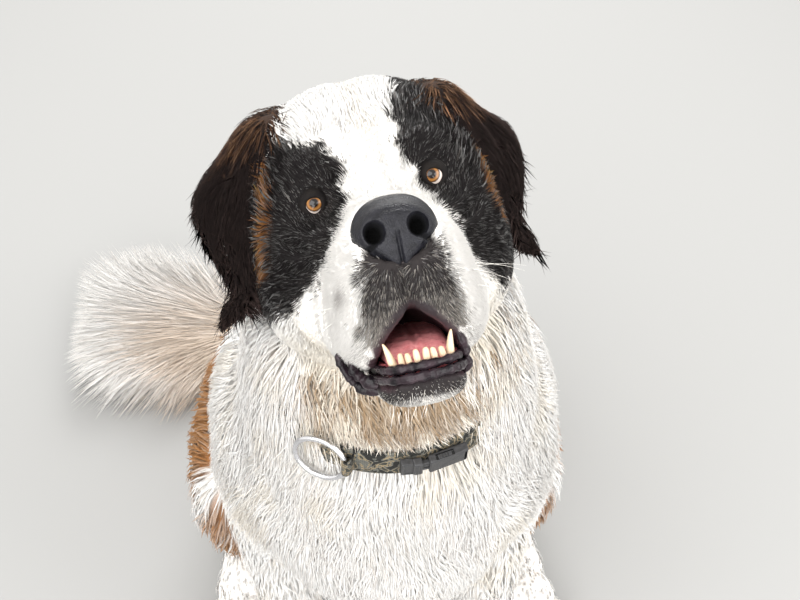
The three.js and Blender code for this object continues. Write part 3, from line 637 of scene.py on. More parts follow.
# Distance inside an outline, less than nothing outside it
def insideOutline(flat, outline):
    corners = np.array(outline, float)
    ends = np.roll(corners, -1, axis=0)
    gap = np.full(len(flat), 1e9)
    crossings = np.zeros(len(flat), int)
    for a, b in zip(corners, ends):
        run = b - a
        s = np.clip(((flat - a) @ run) / (run @ run), 0, 1)
        gap = np.minimum(gap, np.linalg.norm(flat - a - s[:, None] * run, axis=1))
        crosses = (a[1] > flat[:, 1]) != (b[1] > flat[:, 1])
        with np.errstate(divide="ignore", invalid="ignore"):
            at = (b[0] - a[0]) * (flat[:, 1] - a[1]) / (b[1] - a[1]) + a[0]
        crossings += crosses & (flat[:, 0] < at)
    return np.where(crossings % 2 == 1, gap, -gap)


# Colours with layers laid over them, each a name in markings and how much it covers
def layered(colours, *layers):
    for name, amount in layers:
        colours = colours + (np.array(markings[name]) - colours) * np.clip(amount * 1.0, 0, 1)[:, None]
    return colours


# How wet and stained the throat is under the chin
def wetThroat(at):
    bx, by, bz = at.T
    wet = np.exp(-(((bx - 2) / 74) ** 2 + ((bz - 832) / 46) ** 2)) * (by < -30)
    return smoothStep(0.25, 0.75, wet + ripple(at, 24, 15) * 0.25)


# Colours at points of the dog. Rough moves the edges of the patches from tuft to tuft.
def coatColours(at, ear, head, rough):
    white = np.tile(np.array(markings["white"]), (len(at), 1))
    amount = np.where(ear, 1.0, head)[:, None]
    return bodyColours(at, rough, white) * (1 - amount) + headColours(at, rough, white, ear) * amount


# Body: a white chest and collar, a red brown back with a black mantle, brown thighs, a white tail tip
def bodyColours(at, rough, white):
    x, y, z = at.T
    front = np.interp(z, [0, 150, 330, 480, 600, 700, 760], [400, 330, 150, 62, 70, 120, 260])
    back = smoothStep(-8, 8, y - front + ripple(at, 90, 5) * 14 + rough * 9)
    back *= 1 - smoothStep(-6, 6, 80 - z) * (y < 420)
    tone = (ripple(at, 160, 8) * 0.5 + 0.5)[:, None]
    redBrown = np.array(markings["mahogany"]) * tone + np.array(markings["brown"]) * (1 - tone)
    saddle = z - np.interp(y, [0, 200, 420, 560], [600, 520, 330, 240]) - np.abs(x) * 0.55
    mantle = back * smoothStep(-6, 14, saddle + ripple(at, 70, 12) * 22 + rough * 16)
    thighs = smoothStep(100, 112, np.abs(x) + rough * 6) * smoothStep(150, 170, y + rough * 8)
    thighs *= smoothStep(96, 118, z + ripple(at, 60, 2) * 10 + rough * 10) * smoothStep(350, 330, z) * (y < 470)
    strip = np.exp(-(((y - 196) / 13) ** 2)) * (np.abs(x) > 110) * smoothStep(130, 170, z) * smoothStep(330, 290, z)
    low = (np.abs(x) > 105) & (z < 108) & (y > 40) & (y < 480)
    tail = y > 560
    tan = tail * smoothStep(-385, -250, x + rough * 30) * smoothStep(775, 650, y + rough * 18)
    # throat: cream with wet yellow brown stains under the chin
    throat = np.exp(-(((x - 4) / 105) ** 2 + ((z - 825) / 60) ** 2)) * (y < 30)
    tint = smoothStep(0.45, 1.1, ripple(at, 130, 21) + 0.25) * (y < 80) * (z > 250) * (z < 760)
    return layered(
        white * (1 - back[:, None]) + back[:, None] * redBrown,
        ("black", mantle * 0.92), ("brown", thighs), ("white", strip * 1.4), ("white", low),
        ("grey", (ripple(at, 11, 31, 2) > 0.8) & low), ("white", tail), ("tan", tan * 0.75),
        ("brown", tail * smoothStep(-170, -80, x + rough * 14) * 0.9),
        ("cream", smoothStep(0.2, 0.8, throat + ripple(at, 45, 14) * 0.22) * 0.85),
        ("stain", np.clip(wetThroat(at) + rough * 0.35, 0, 1) * 0.9), ("cream", tint * 0.5),
    )


# Head: a white blaze and muzzle between black patches, a charcoal upper lip streaked with grey, dark ears
def headColours(at, rough, white, ear):
    x, y, z = toHead(at).T
    edge = ripple(at, 26, 3) * 3.5 + rough * 4
    crown = smoothStep(34, 44, np.abs(x - 4) + edge) * smoothStep(176, 196, y + rough * 8)
    crown *= smoothStep(-30, 10, z + rough * 10)
    colours = layered(
        white,
        ("cream", np.exp(-(((x - 3) / 9) ** 2)) * smoothStep(60, 90, z) * 0.3),
        ("cream", smoothStep(-20, -60, z) * smoothStep(95, 130, y) * 0.75),
    )
    flat = np.stack([x, z], axis=1)
    for side, outline in patchOutlines.items():
        inside = insideOutline(flat, outline) + edge
        patch = smoothStep(-2.5, 2.5, inside) * smoothStep(34, 50, y + rough * 4)
        pale = smoothStep(0.25, 0.85, rough + ripple(at, 18, 33) * 0.3) * patch * smoothStep(16, 1, inside)
        path = between([(*p, 0) for p in stripeLines[side]], 8)[:, :2]
        gap = np.min(np.linalg.norm(flat[:, None] - path[None], axis=2), axis=1)
        stripe = np.exp(-((gap / 2.6) ** 2)) * (y > 110) * (rough > -0.6) * smoothStep(-5, 2, inside + 6)
        colours = layered(colours, ("black", patch), ("grey", pale * 0.3), ("orange", stripe))
    eyeGap = np.linalg.norm((np.abs(x) - 46, y - 118, z - 48), axis=0)
    brown = smoothStep(0.1, 0.6, np.sin(x * 0.13 + 1.2) * 0.4 + rough * 0.5 + 0.25) * crown
    low = np.interp(z, [-66, -44, -24, 0], [40, 36, 32, 25])
    snout = np.exp(-((x / low) ** 6)) * smoothStep(4, -12, z) * smoothStep(-92, -56, z) * smoothStep(66, 44, y)
    snout = smoothStep(0.3, 0.75, snout + rough * 0.2 + ripple(at, 12, 41) * 0.14)
    streak = smoothStep(0.1, 0.8, rough + smoothStep(-24, -62, z) * 0.75 - 0.28)
    lips = smoothStep(-60, -74, z) * smoothStep(58, 34, np.abs(x)) * smoothStep(100, 70, y) * (z > -100)
    chin = smoothStep(-96, -101, z) * smoothStep(-117, -110, z + rough * 4) * (np.abs(x) < 48)
    chin *= smoothStep(90, 62, y + rough * 12)
    spot = np.exp(-(((x + 44) / 6) ** 2 + ((z + 30) / 7) ** 2 + ((y - 28) / 12) ** 2))
    earBrown = ear * smoothStep(112, 132, z + rough * 12) * smoothStep(212, 190, y) * smoothStep(-0.5, 0.4, rough)
    return layered(
        colours,
        ("grey", smoothStep(30, 18, eyeGap) * smoothStep(0.55, 0.95, rough) * 0.35),
        ("black", crown * (1 - smoothStep(150, 200, z) * 0.2)),
        ("umber", brown * smoothStep(210, 180, y) * (np.abs(x) > 44) * 0.9),
        ("charcoal", snout), ("silver", snout * streak * 0.6),
        ("grey", lips * smoothStep(-0.1, 0.7, rough + 0.2) * 0.75),
        ("charcoal", chin * smoothStep(0.1, -0.3, rough - 0.35)), ("silver", chin * smoothStep(0.2, 0.8, rough)),
        ("grey", spot * 0.8), ("ear", ear), ("umber", earBrown * 0.85),
        ("mahogany", smoothStep(255, 285, y) * (z > 0) * crown * 0.5),
    )


headness = softened(onHead.astype(float), 5)[:, 0]
colours = coatColours(co, onEar, headness, np.zeros(len(co)))

# Bare skin: inside the mouth, along the lips, round the eyes and under the nose
facing = out @ headAxes
mouthWide = np.interp(y, [-12, 30, 80, 128], [31, 36, 40, 36])
within = (np.abs(x) / mouthWide) ** 1.55 + (np.abs(z + 105) / 56) ** 1.55
towardMiddle = -(facing[:, 0] * x + facing[:, 2] * (z + 105)) / np.hypot(x, z + 105)
inner = (within < 1.2) & (z > -96) & (y > 6) & (((towardMiddle > 0.3) & (y < 150)) | ((y > 108) & (y < 150)))
jawTop = isPart("jaw") & (facing[:, 2] > 0.3) & (y < 150)
socket = np.zeros(len(co), bool)
for side in (-1, 1):
    off = (local - eyePlace(side)) / (9.5, 26, 8.5)
    socket |= (off**2).sum(1) < 1
underNose = (np.abs(x) < np.interp(z, [-19, -8, 0], [7, 19, 26])) & (z > -19) & (z < 25) & (y < 24)
jawLip = isPart("jaw") & (z > -102) & (y < 110)
bare = softened((inner | jawTop | jawLip | socket | underNose).astype(float), 1)[:, 0]
dark = np.where(inner | jawTop, 1.0, 0.0)
colours = colours * (1 - bare[:, None]) + bare[:, None] * np.array(markings["leather"])
deepMouth = np.clip(dark * smoothStep(16, 44, y), 0, 1)[:, None]
colours = colours * (1 - deepMouth) + deepMouth * np.array(markings["lip"])


def writeColours(mesh, name, values):
    layer = mesh.attributes.new(name, "FLOAT_COLOR", "POINT")
    rgba = np.ones((len(mesh.vertices), 4), np.float32)
    rgba[:, :3] = values
    layer.data.foreach_set("color", rgba.ravel())


def writeValues(mesh, name, values):
    layer = mesh.attributes.new(name, "FLOAT", "POINT")
    layer.data.foreach_set("value", np.ascontiguousarray(values, dtype=np.float32))


writeColours(skin.data, "marking", colours)
writeValues(skin.data, "bare", bare)

# A coarse copy of the skin, unwrapped, that gives every tuft its place in the baking map

coarseSkin = newObject("coarseSkin", skin.data.copy())
applied(coarseSkin, ("DECIMATE", {"ratio": 9000 / len(skin.data.polygons)}))
bpy.ops.object.select_all(action="DESELECT")
coarseSkin.select_set(True)
bpy.context.view_layer.objects.active = coarseSkin
bpy.ops.object.mode_set(mode="EDIT")
bpy.ops.mesh.select_all(action="SELECT")
bpy.ops.uv.smart_project(angle_limit=math.radians(62), island_margin=0.004)
bpy.ops.object.mode_set(mode="OBJECT")
coarseSkin.data.calc_loop_triangles()
mapCorners = readAll(coarseSkin.data.loop_triangles, "loops", 3, int)
mapPlaces = readAll(coarseSkin.data.uv_layers[0].uv, "vector", 2)[mapCorners]
mapShape = points(coarseSkin.data)[readAll(coarseSkin.data.loops, "vertex_index", 1, int)[mapCorners, 0]]
mapTree = BVHTree.FromPolygons(mapShape.reshape(-1, 3).tolist(), np.arange(mapCorners.size).reshape(-1, 3).tolist())
bpy.data.objects.remove(coarseSkin)
print("map", len(mapShape))


def mapPlace(roots):
    faces = np.array([mapTree.find_nearest(p)[2] for p in roots])
    a, b, c = (mapShape[faces, k] for k in range(3))
    n = np.cross(b - a, c - a)
    area = (n * n).sum(1) + 1e-9
    u = (np.cross(c - b, roots - b) * n).sum(1) / area
    v = (np.cross(a - c, roots - c) * n).sum(1) / area
    w = np.clip(np.stack([u, v, 1 - u - v], 1), 0, 1)
    w /= w.sum(1, keepdims=True)
    return (mapPlaces[faces] * w[:, :, None]).sum(1)


# Tufts

skin.data.calc_loop_triangles()
triangles = readAll(skin.data.loop_triangles, "vertices", 3, int)
cornerA, cornerB, cornerC = (co[triangles[:, k]] for k in range(3))
areas = np.linalg.norm(np.cross(cornerB - cornerA, cornerC - cornerA), axis=1) / 2
skinTree = BVHTree.FromPolygons(co.tolist(), triangles.tolist())
draw = np.random.default_rng(7)


# Roots spread over the skin, as many to each area as the weights of its points say
def scatter(weights, number):
    share = np.cumsum(areas * weights[triangles].mean(1))
    picks = (np.arange(number) + draw.uniform(0, 1, number)) / number * share[-1]
    face = np.minimum(np.searchsorted(share, picks), len(triangles) - 1)
    a, b = draw.uniform(0, 1, (2, number))
    flip = a + b > 1
    a, b = np.where(flip, 1 - a, a), np.where(flip, 1 - b, b)
    corners, w = triangles[face], np.stack([1 - a - b, a, b], 1)

    def at(values):
        found = values[corners]
        return (found * (w[..., None] if found.ndim == 3 else w)).sum(1)

    return at


# How the tufts of each part of the coat are made: how many, the rings of each, the length and lift against the
# coat's own, width and waves in millimetres, how far they lean to one another, the record's slot
tuftKeys = ("number", "rows", "long", "lift", "wide", "wave", "clump", "slot")
tufts = {
    "face": (46000, 1, 0.6, 0.5, 1.1, 0.4, 0.0, "head_coat"),
    "cheek": (22000, 2, 1.4, 0.9, 1.3, 1.2, 0.2, "head_coat"),
    "ear": (9500, 2, 1.3, 0.8, 1.5, 2.2, 0.35, "black_coat"),
    "throat": (22500, 2, 0.95, 0.85, 1.6, 3.5, 0.4, "white_coat"),
    "chest": (37000, 2, 1.05, 0.75, 1.9, 3.0, 0.25, "body_coat"),
    "back": (12500, 2, 1.0, 0.85, 3.6, 3.0, 0.3, "body_coat"),
    "foreleg": (5500, 2, 0.95, 0.85, 2.6, 2.0, 0.25, "white_coat"),
    "thigh": (6500, 2, 0.95, 0.85, 2.8, 2.0, 0.25, "brown_coat"),
    "feet": (4000, 2, 0.9, 0.7, 2.2, 1.0, 0.1, "white_coat"),
    "tail": (10500, 2, 0.95, 0.95, 2.2, 6.0, 0.3, "white_coat"),
}
# Among these numbers, the pair that darkens each tuft's colour towards its root is painted shade between the tufts.
tuftForm = {
    "reach": (0.65, 1.2), "rise": (0.4, 1.05), "steep": 0.75, "wide": (0.7, 1.3), "thick": 0.2, "sunk": 1.5,
    "swirl": 38, "turn": 0.3, "stray": 0.09, "hug": 0.8, "bow": 2.3, "follow": (0.55, 0.45), "round": 0.07,
    "uneven": 0.03, "tone": 0.025, "paintedRootShade": (0.95, 0.06), "patch": 0.003, "patchWide": 0.0024, "mostFaces": 190000,
}

hairy = (1 - np.clip(bare * 1.6, 0, 1)) * (co[:, 2] > 3)
faceArea = onHead & ~onEar & (y < 152)
zones = {
    "face": faceArea * smoothStep(165, 120, y) * (1 + 1.6 * smoothStep(75, 45, y) * smoothStep(10, -20, z)),
    "cheek": (onHead & ~onEar) * smoothStep(118, 150, y) * (z > -125),
    "ear": onEar * 1.0,
    "throat": isPart("neck") * (0.35 + 0.65 * smoothStep(40, -40, co[:, 1])),
    "chest": isPart("torso") * smoothStep(110, 40, co[:, 1]) * (co[:, 2] > 150),
    "back": isPart("torso") * smoothStep(40, 110, co[:, 1]) * (co[:, 2] > 20),
    "foreleg": isPart("foreleg") * 1.0,
    "thigh": isPart("thigh", "shank") * 1.0,
    "feet": isPart("paw", "pastern", "instep") * 1.0,
    "tail": isPart("tailBase", "plume") * (0.3 + 0.7 * isPart("plume")),
}
steps = {1: (0, 1), 2: (0, 0.42, 1)}  # where along a tuft its rings and its tip lie

# Tufts are short at the eyes, mouth and nose, and keep off the ears
gapToEye = np.linalg.norm((np.abs(x) - 46, y - 118, z - 49), axis=0)
shorten = 1 - 0.6 * smoothStep(26, 12, gapToEye)
shorten *= 1 - 0.55 * smoothStep(0.02, 0.5, softened(bare, 5)[:, 0])
jowl = smoothStep(-68, -84, z) * smoothStep(34, 44, np.abs(x)) * isPart("head") * smoothStep(125, 100, y)
shorten *= 1 + 0.9 * jowl
shorten *= 1 - 0.65 * np.where(onEar, 0, smoothStep(0.02, 0.4, softened(onEar.astype(float), 12)[:, 0]))

collarForm = {
    "centre": (-2, 0, 792), "tilt": 14, "wide": 25, "thick": 3.4, "clear": (-19, 26), "overlap": 8,
    "strapOut": 0.5, "sunk": 3.2, "buckleAt": 12.5, "buckleOut": 4.4, "ringRadius": 24, "ringThick": 2.5,
    # the neck under the strap: height, middle across and back, half width and half depth
    "sections": [(640, -1, 17.5, 141, 141), (715, -1, -10.5, 132, 129.5), (790, -4, -20.5, 120, 116.5),
                 (860, -10, -18.5, 104, 96.5), (915, -18, -16.5, 82, 74.5)],
}


def strapHeight(at):
    tilt = math.radians(collarForm["tilt"])
    off = at - np.array(collarForm["centre"])
    return off[:, 2] * math.cos(tilt) - off[:, 1] * math.sin(tilt)


# Where round the throat no tuft hangs over the collar, so that its buckle and ring show
def collarClear(at):
    angle = np.degrees(np.arctan2(at[:, 0] + 2, -at[:, 1]))
    low, high = collarForm["clear"]
    return smoothStep(low - 8, low, angle) * smoothStep(high + 8, high, angle)


coatMargin = 9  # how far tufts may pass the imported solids' box
coatLow = np.array(cadBox[0]) * 1000 - partShift - coatMargin
coatHigh = np.array(cadBox[1]) * 1000 - partShift + coatMargin


# How far each tuft leans over to the nearest of a few guides
def clumped(root, up, amount):
    number = len(root)
    guides = draw.choice(number, max(number // 14, 1), replace=False)
    near = kdtree.KDTree(len(guides))
    for k, g in enumerate(guides):
        near.insert(root[g], k)
    near.balance()
    pull = root[guides[[near.find(p)[1] for p in root]]] - root
    pull -= (pull * up).sum(1, keepdims=True) * up
    return pull * amount * draw.uniform(0.5, 1.2, number)[:, None]


# The faces of a closed, three-sided tuft with this many rings and a tip
def tuftFaces(rows):
    faces = [(0, 2, 1)]
    for k in range(rows - 1):
        for m in range(3):
            p, q = k * 3 + m, k * 3 + (m + 1) % 3
            faces += [(p, q, q + 3), (p, q + 3, p + 3)]
    top = (rows - 1) * 3
    faces += [(top + m, top + (m + 1) % 3, top + 3) for m in range(3)]
    return np.array(faces)


def coat(zone, values):
    number, rows = int(values["number"] * (1)), values["rows"]
    at = scatter(zones[zone] * hairy, number)
    root, up, way = at(co), unit(at(out)), at(lie)
    reach, rise = at(length * shorten) * values["long"], at(depth) * values["lift"]
    ear = at(onEar.astype(float)) > 0.5
    rough = np.clip(draw.normal(0, 0.5, number), -1, 1)
    shades = coatColours(root, ear, np.clip(at(headness) + rough * 0.1, 0, 1), rough)
    reach = reach * draw.uniform(*tuftForm["reach"], number)
    rise = np.minimum(rise * draw.uniform(*tuftForm["rise"], number), reach * tuftForm["steep"])
    free = 1 if zone == "tail" else 0  # the tail's hair stands off, all other hair hugs the skin
    way = unit(at(freeLie) + up * 0.22) if free else unit(way - (way * up).sum(1, keepdims=True) * up)
    side = unit(np.cross(way, up))
    turn = ripple(root, tuftForm["swirl"] + reach.mean(), 51) * tuftForm["turn"]
    turn = turn + draw.normal(0, tuftForm["stray"], number)
    way = unit(way + side * turn[:, None])
    side = unit(np.cross(way, up))
    run = np.sqrt(np.maximum(reach**2 - rise**2, 1))
    tip = root + way * run[:, None]
    for limit, sign in ((coatLow, -1), (coatHigh, 1)):
        over = np.clip((tip - limit) * sign, 0, None) / np.maximum(np.abs(tip - root), 1)
        run *= 1 - np.clip(over.max(1), 0, 0.8)
    if zone in ("throat", "chest"):  # short where the collar shows
        height, clear = strapHeight(root) - collarForm["wide"] / 2, collarClear(root)
        room = np.where(height > 0, np.maximum(height + collarForm["overlap"] * draw.uniform(0, 1, number), 9), 1e3)
        room = np.where((height <= 0) & (height > -collarForm["wide"]), 5, room)
        run = np.where(clear > 0.5, np.minimum(run, room), run)
        rise = np.where((clear > 0.5) & (run < 12), np.minimum(rise, 6), rise)
    pull = clumped(root, up, values["clump"]) if values["clump"] else np.zeros((number, 3))
    phase = ripple(root, 60, 77) * 3 + draw.normal(0, 0.5, number)
    wave = values["wave"] * (1 + 2.2 * (zone == "throat") * wetThroat(root) * draw.uniform(0.2, 1, number))
    path, faceOut = [root - up * tuftForm["sunk"]], [up]
    for s in steps[rows][1:]:
        p = root + way * (run * s)[:, None] + pull * s**1.3
        p = p + side * (wave * s * np.sin(phase + s * 4.5))[:, None]
        high = rise * (1 - (1 - s) ** tuftForm["bow"])
        found = [skinTree.find_nearest(q) for q in p]
        base, near = (np.array([f[k] for f in found]) for k in (0, 1))
        same = (near * up).sum(1) > -0.3  # not the far side of a thin ear
        near = np.where(same[:, None], unit(near * tuftForm["follow"][0] + up * tuftForm["follow"][1]), up)
        hug = (tuftForm["hug"] * (1 - free) * same)[:, None]
        path.append(base * hug + p * (1 - hug) + near * high[:, None] * (1 - 0.6 * free))
        faceOut.append(unit(near + (0, 0, 0.7 * free)))
    path = np.stack(path, 1)
    path[:, 1:, 2] = np.maximum(path[:, 1:, 2], 2.0)
    path = np.clip(path, coatLow - coatMargin, coatHigh + coatMargin)
    wide = values["wide"] * draw.uniform(*tuftForm["wide"], number)
    half, thick, bent = side * (wide / 2)[:, None], up * (wide * tuftForm["thick"])[:, None], side * tuftForm["round"]
    ring, soft = [], []
    for k in range(rows):
        ring += [path[:, k] - half, path[:, k] + half, path[:, k] + thick]
        soft += [faceOut[k] - bent, faceOut[k] + bent, faceOut[k]]
    shape = np.stack([*ring, path[:, -1]], 1)
    soft = np.stack([*soft, faceOut[-1] + way * 0.1], 1)
    soft = unit(soft + draw.normal(0, tuftForm["uneven"], (number, 1, 3)))
    faces = tuftFaces(rows)
    a, b, c = (shape[0, faces[:, k]] for k in range(3))
    if (a * np.cross(b, c)).sum() - (shape[0].mean(0) * np.cross(b - a, c - a)).sum() < 0:
        faces = faces[:, ::-1]  # outwards
    down = np.array([s for s in steps[rows][:-1] for _ in range(3)] + [1.0])
    over = np.array([-1, 1, 0] * rows + [0.0])
    patch = np.stack([over * tuftForm["patchWide"] / 2, (down - 0.5) * tuftForm["patch"]], 1)
    flat = mapPlace(root)[:, None, :] + patch[None]
    strand = np.stack([np.tile(over, (number, 1)) * 0.5 + draw.uniform(0, 60, number)[:, None],
                       down[None] * (reach / 40)[:, None] + draw.uniform(0, 60, number)[:, None]], -1)
    # Each tuft's colour is darker at its root than at its tip, as painted shade where the tufts shade one another,
    # times a random tone.
    paintedRootShade = tuftForm["paintedRootShade"][0] + tuftForm["paintedRootShade"][1] * down
    tone = draw.normal(1, tuftForm["tone"], number)[:, None, None] * paintedRootShade[None, :, None]
    shade = np.clip(shades[:, None, :] * tone, 0, 1)
    portion = tuftForm["mostFaces"] // len(faces)
    made = []
    for k, first in enumerate(range(0, number, portion)):
        some = slice(first, min(first + portion, number))
        parts = (each[some] for each in (shape, soft, flat, strand, shade))
        made.append(coatPiece(f"coat_{zone}_{k + 1}", faces, *parts))
    return made


def coatPiece(name, faces, shape, soft, flat, strand, shade):
    number, each = shape.shape[:2]
    index = (np.arange(number)[:, None, None] * each + faces[None]).reshape(-1, 3)
    mesh = bpy.data.meshes.new(name)
    mesh.vertices.add(number * each)
    setPoints(mesh, toPart(shape.reshape(-1, 3)))
    mesh.loops.add(index.size)
    mesh.loops.foreach_set("vertex_index", index.ravel().astype(np.int32))
    mesh.polygons.add(len(index))
    mesh.polygons.foreach_set("loop_start", np.arange(0, index.size, 3, dtype=np.int32))
    mesh.update()
    for label, values in (("OFBake", flat), ("strand", strand)):
        layer = mesh.uv_layers.new(name=label)
        layer.uv.foreach_set("vector", values.reshape(-1, 2)[index.ravel()].astype(np.float32).ravel())
    writeColours(mesh, "marking", shade.reshape(-1, 3))
    mesh.shade_smooth()
    mesh.normals_split_custom_set_from_vertices(soft.reshape(-1, 3))
    return newObject(name, mesh)


coatPieces = []
for zone, values in tufts.items():
    coatPieces += coat(zone, dict(zip(tuftKeys, values)))
    print("coat", zone, [len(o.data.polygons) for o in coatPieces][-2:])

setPoints(skin.data, toPart(points(skin.data)))

# Materials


def newMaterial(name):
    material = bpy.data.materials.new(name)
    material.use_nodes = True
    nodes = material.node_tree.nodes
    return material, nodes, material.node_tree.links, nodes["Principled BSDF"]


def setInputs(node, values):
    for name, value in values.items():
        node.inputs[name].default_value = value


# A new node with its settings, its inputs' values and what is linked to them
def addNode(nodes, links, kind, values={}, wires={}, **settings):
    node = nodes.new("ShaderNode" + kind)
    for name, value in settings.items():
        setattr(node, name, value)
    setInputs(node, values)
    for name, source in wires.items():
        links.new(source, node.inputs[name])
    return node


# Bumps from a height, linked to the shader
def addBump(nodes, links, shader, height, strength, distance, **settings):
    bump = addNode(nodes, links, "Bump", {"Strength": strength, "Distance": distance}, {"Height": height}, **settings)
    links.new(bump.outputs["Normal"], shader.inputs["Normal"])


def setStops(ramp, stops):
    elements = ramp.color_ramp.elements
    while len(elements) < len(stops):
        elements.new(0.5)
    for element, (at, colour) in zip(elements, stops):
        element.position = at
        element.color = (*colour, 1)


# A shared effect: fine grain that lightens and darkens a colour, with a height for bumps
def grainGroup():
    tree = bpy.data.node_groups.new("grain", "ShaderNodeTree")
    sockets = [("Vector", "INPUT", "Vector"), ("Color", "INPUT", "Color"), ("Scale", "INPUT", "Float"),
               ("Dark", "INPUT", "Float"), ("Light", "INPUT", "Float"), ("Color", "OUTPUT", "Color"),
               ("Height", "OUTPUT", "Float")]
    for name, way, kind in sockets:
        tree.interface.new_socket(name, in_out=way, socket_type="NodeSocket" + kind)
    nodes, links = tree.nodes, tree.links
    given, out = nodes.new("NodeGroupInput").outputs, nodes.new("NodeGroupOutput").inputs
    noise = addNode(nodes, links, "TexNoise", {"Detail": 3}, {"Vector": given["Vector"], "Scale": given["Scale"]})
    lights = addNode(nodes, links, "MapRange", {"From Min": 0.3, "From Max": 0.7},
                     {"Value": noise.outputs["Fac"], "To Min": given["Dark"], "To Max": given["Light"]})
    tone = addNode(nodes, links, "VectorMath", {}, {0: given["Color"]}, operation="SCALE")
    links.new(lights.outputs["Result"], tone.inputs["Scale"])
    links.new(tone.outputs["Vector"], out["Color"])
    links.new(noise.outputs["Fac"], out["Height"])
    return tree


grain = grainGroup()


def grainNode(nodes, links, shader, where, colour, settings, bump):
    node = addNode(nodes, links, "Group", node_tree=grain)
    setInputs(node, dict(zip(("Scale", "Dark", "Light"), settings)))
    links.new(where, node.inputs["Vector"])
    links.new(colour, node.inputs["Color"])
    links.new(node.outputs["Color"], shader.inputs["Base Color"])
    addBump(nodes, links, shader, node.outputs["Height"], *bump)


def attribute(nodes, name, output):
    return addNode(nodes, None, "Attribute", attribute_name=name).outputs[output]


# Grain is its scale and how dark and light it turns the colour, bump its strength and distance
coatLook = {
    "stretch": (5, 0.7, 1), "grain": (1.6, 0.95, 1.03), "bump": (0.25, 0.0003),
    "shader": {"Roughness": 0.6, "Specular IOR Level": 0.02, "Subsurface Weight": 0.5, "Subsurface Scale": 0.006,
               "Subsurface Radius": (1.0, 0.9, 0.8)},
}
skinLook = {"grain": (420, 0.8, 1.08), "bump": (0.6, 0.0008), "furry": 0.75, "wet": 0.3, "shine": 0.1}


def coatMaterial():
    material, nodes, links, shader = newMaterial("coat")
    strand = addNode(nodes, links, "UVMap", uv_map="strand").outputs["UV"]
    spread = addNode(nodes, links, "Mapping", {"Scale": coatLook["stretch"]}, {"Vector": strand}).outputs["Vector"]
    colour = attribute(nodes, "marking", "Color")
    grainNode(nodes, links, shader, spread, colour, coatLook["grain"], coatLook["bump"])
    setInputs(shader, coatLook["shader"])
    return material


def skinMaterial():
    material, nodes, links, shader = newMaterial("skin")
    place, colour = addNode(nodes, links, "TexCoord").outputs["Object"], attribute(nodes, "marking", "Color")
    grainNode(nodes, links, shader, place, colour, skinLook["grain"], skinLook["bump"])
    limits = {"To Min": skinLook["furry"], "To Max": skinLook["wet"]}
    wet = addNode(nodes, links, "MapRange", limits, {"Value": attribute(nodes, "bare", "Fac")})
    links.new(wet.outputs["Result"], shader.inputs["Roughness"])
    shader.inputs["Specular IOR Level"].default_value = skinLook["shine"]
    return material


hair = coatMaterial()
for piece in coatPieces:
    piece.data.materials.append(hair)
    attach(piece, "root")
skin.data.materials.append(skinMaterial())
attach(skin, "root")
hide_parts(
    "head", "lower_jaw", "ear_left", "ear_right", "neck", "torso", "tail_base", "tail_plume",
    *(f"{limb}_{side}" for limb in ("front_leg", "front_paw", "hind_leg", "hind_foot") for side in ("left", "right")),
)


# A finished piece: its mesh goes from the dog's frame or the head's into the part's
def settle(piece, material, slot, *nodes, head=True):
    co = points(piece.data)
    setPoints(piece.data, toPart(fromHead(co) if head else co))
    piece.data.materials.clear()
    piece.data.materials.append(material)
    piece.data.shade_smooth()
    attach(piece, "root")
    if nodes:
        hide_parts(*nodes)


# Wet or dry bare skin, such as leather, gums and tongue: mottled, with fine bumps, and with painted shade that turns
# holes black where asked
def bareMaterial(name, light, dark, rough, size, bump, cells=False, deep=False, shine=0.5):
    material, nodes, links, shader = newMaterial(name)
    place = {"Vector": addNode(nodes, links, "TexCoord").outputs["Object"]}
    mottle = addNode(nodes, links, "TexNoise", {"Scale": size * 0.22, "Detail": 5}, place).outputs["Fac"]
    spread = addNode(nodes, links, "MapRange", {"From Min": 0.36, "From Max": 0.66}, {"Value": mottle})
    colour = addNode(nodes, links, "Mix", {}, {"Factor": spread.outputs["Result"]}, data_type="RGBA")
    setInputs(colour, {"A": (*dark, 1), "B": (*light, 1)})
    dull = addNode(nodes, links, "MapRange", {"To Min": rough * 0.75, "To Max": rough * 1.3}, {"Value": mottle})
    colour, dull = colour.outputs["Result"], dull.outputs["Result"]
    # Painted shade: the attribute deep turns the nostrils and slits black and dull.
    if deep:  # holes turn black and dull
        hole = attribute(nodes, "deep", "Fac")
        paintedHoleShade = addNode(nodes, links, "Mix", {}, {"Factor": hole}, data_type="RGBA")
        paintedHoleShade.inputs["B"].default_value = (0.001, 0.001, 0.001, 1)
        links.new(colour, paintedHoleShade.inputs["A"])
        colour = paintedHoleShade.outputs["Result"]
        dull = addNode(nodes, links, "Math", {}, {0: dull, 1: hole}, operation="ADD").outputs["Value"]
    links.new(colour, shader.inputs["Base Color"])
    links.new(dull, shader.inputs["Roughness"])
    shader.inputs["Specular IOR Level"].default_value = shine
    lumps = addNode(nodes, links, "TexVoronoi" if cells else "TexNoise", {"Scale": size}, place)
    addBump(nodes, links, shader, lumps.outputs["Distance" if cells else "Fac"], bump, 0.0006, invert=cells)
    return material


# Nose

noseForm = {
    "rows": headRows((1, 14, -23, 20), (6, 20, -27, 26), (14, 24, -29, 29.5), (24, 28, -28, 30), (34, 29, -25, 28)),
    "inside": (0, 0), "lie": 1, "ends": (0.24, 0.2), "length": 1, "square": 2.3, "segments": 64,
    "narrow": {"z": (-30, -24, -16, -8, 0, 30), "by": (0.3, 0.42, 0.68, 0.93, 1, 1)},
    "hole": {"at": (14.8, 1.4), "half": (7.8, 8.8), "depth": 18},
    "slit": {"line": [(16, -6), (20, -8.5), (24.5, -7.5), (29, -3.5)], "wide": 2.2, "depth": 4.5},
    "wing": {"at": (23.5, 0), "half": (6, 8.5), "push": 3.0},
    "groove": {"wide": 1.3, "depth": 3.0, "top": 8},
}


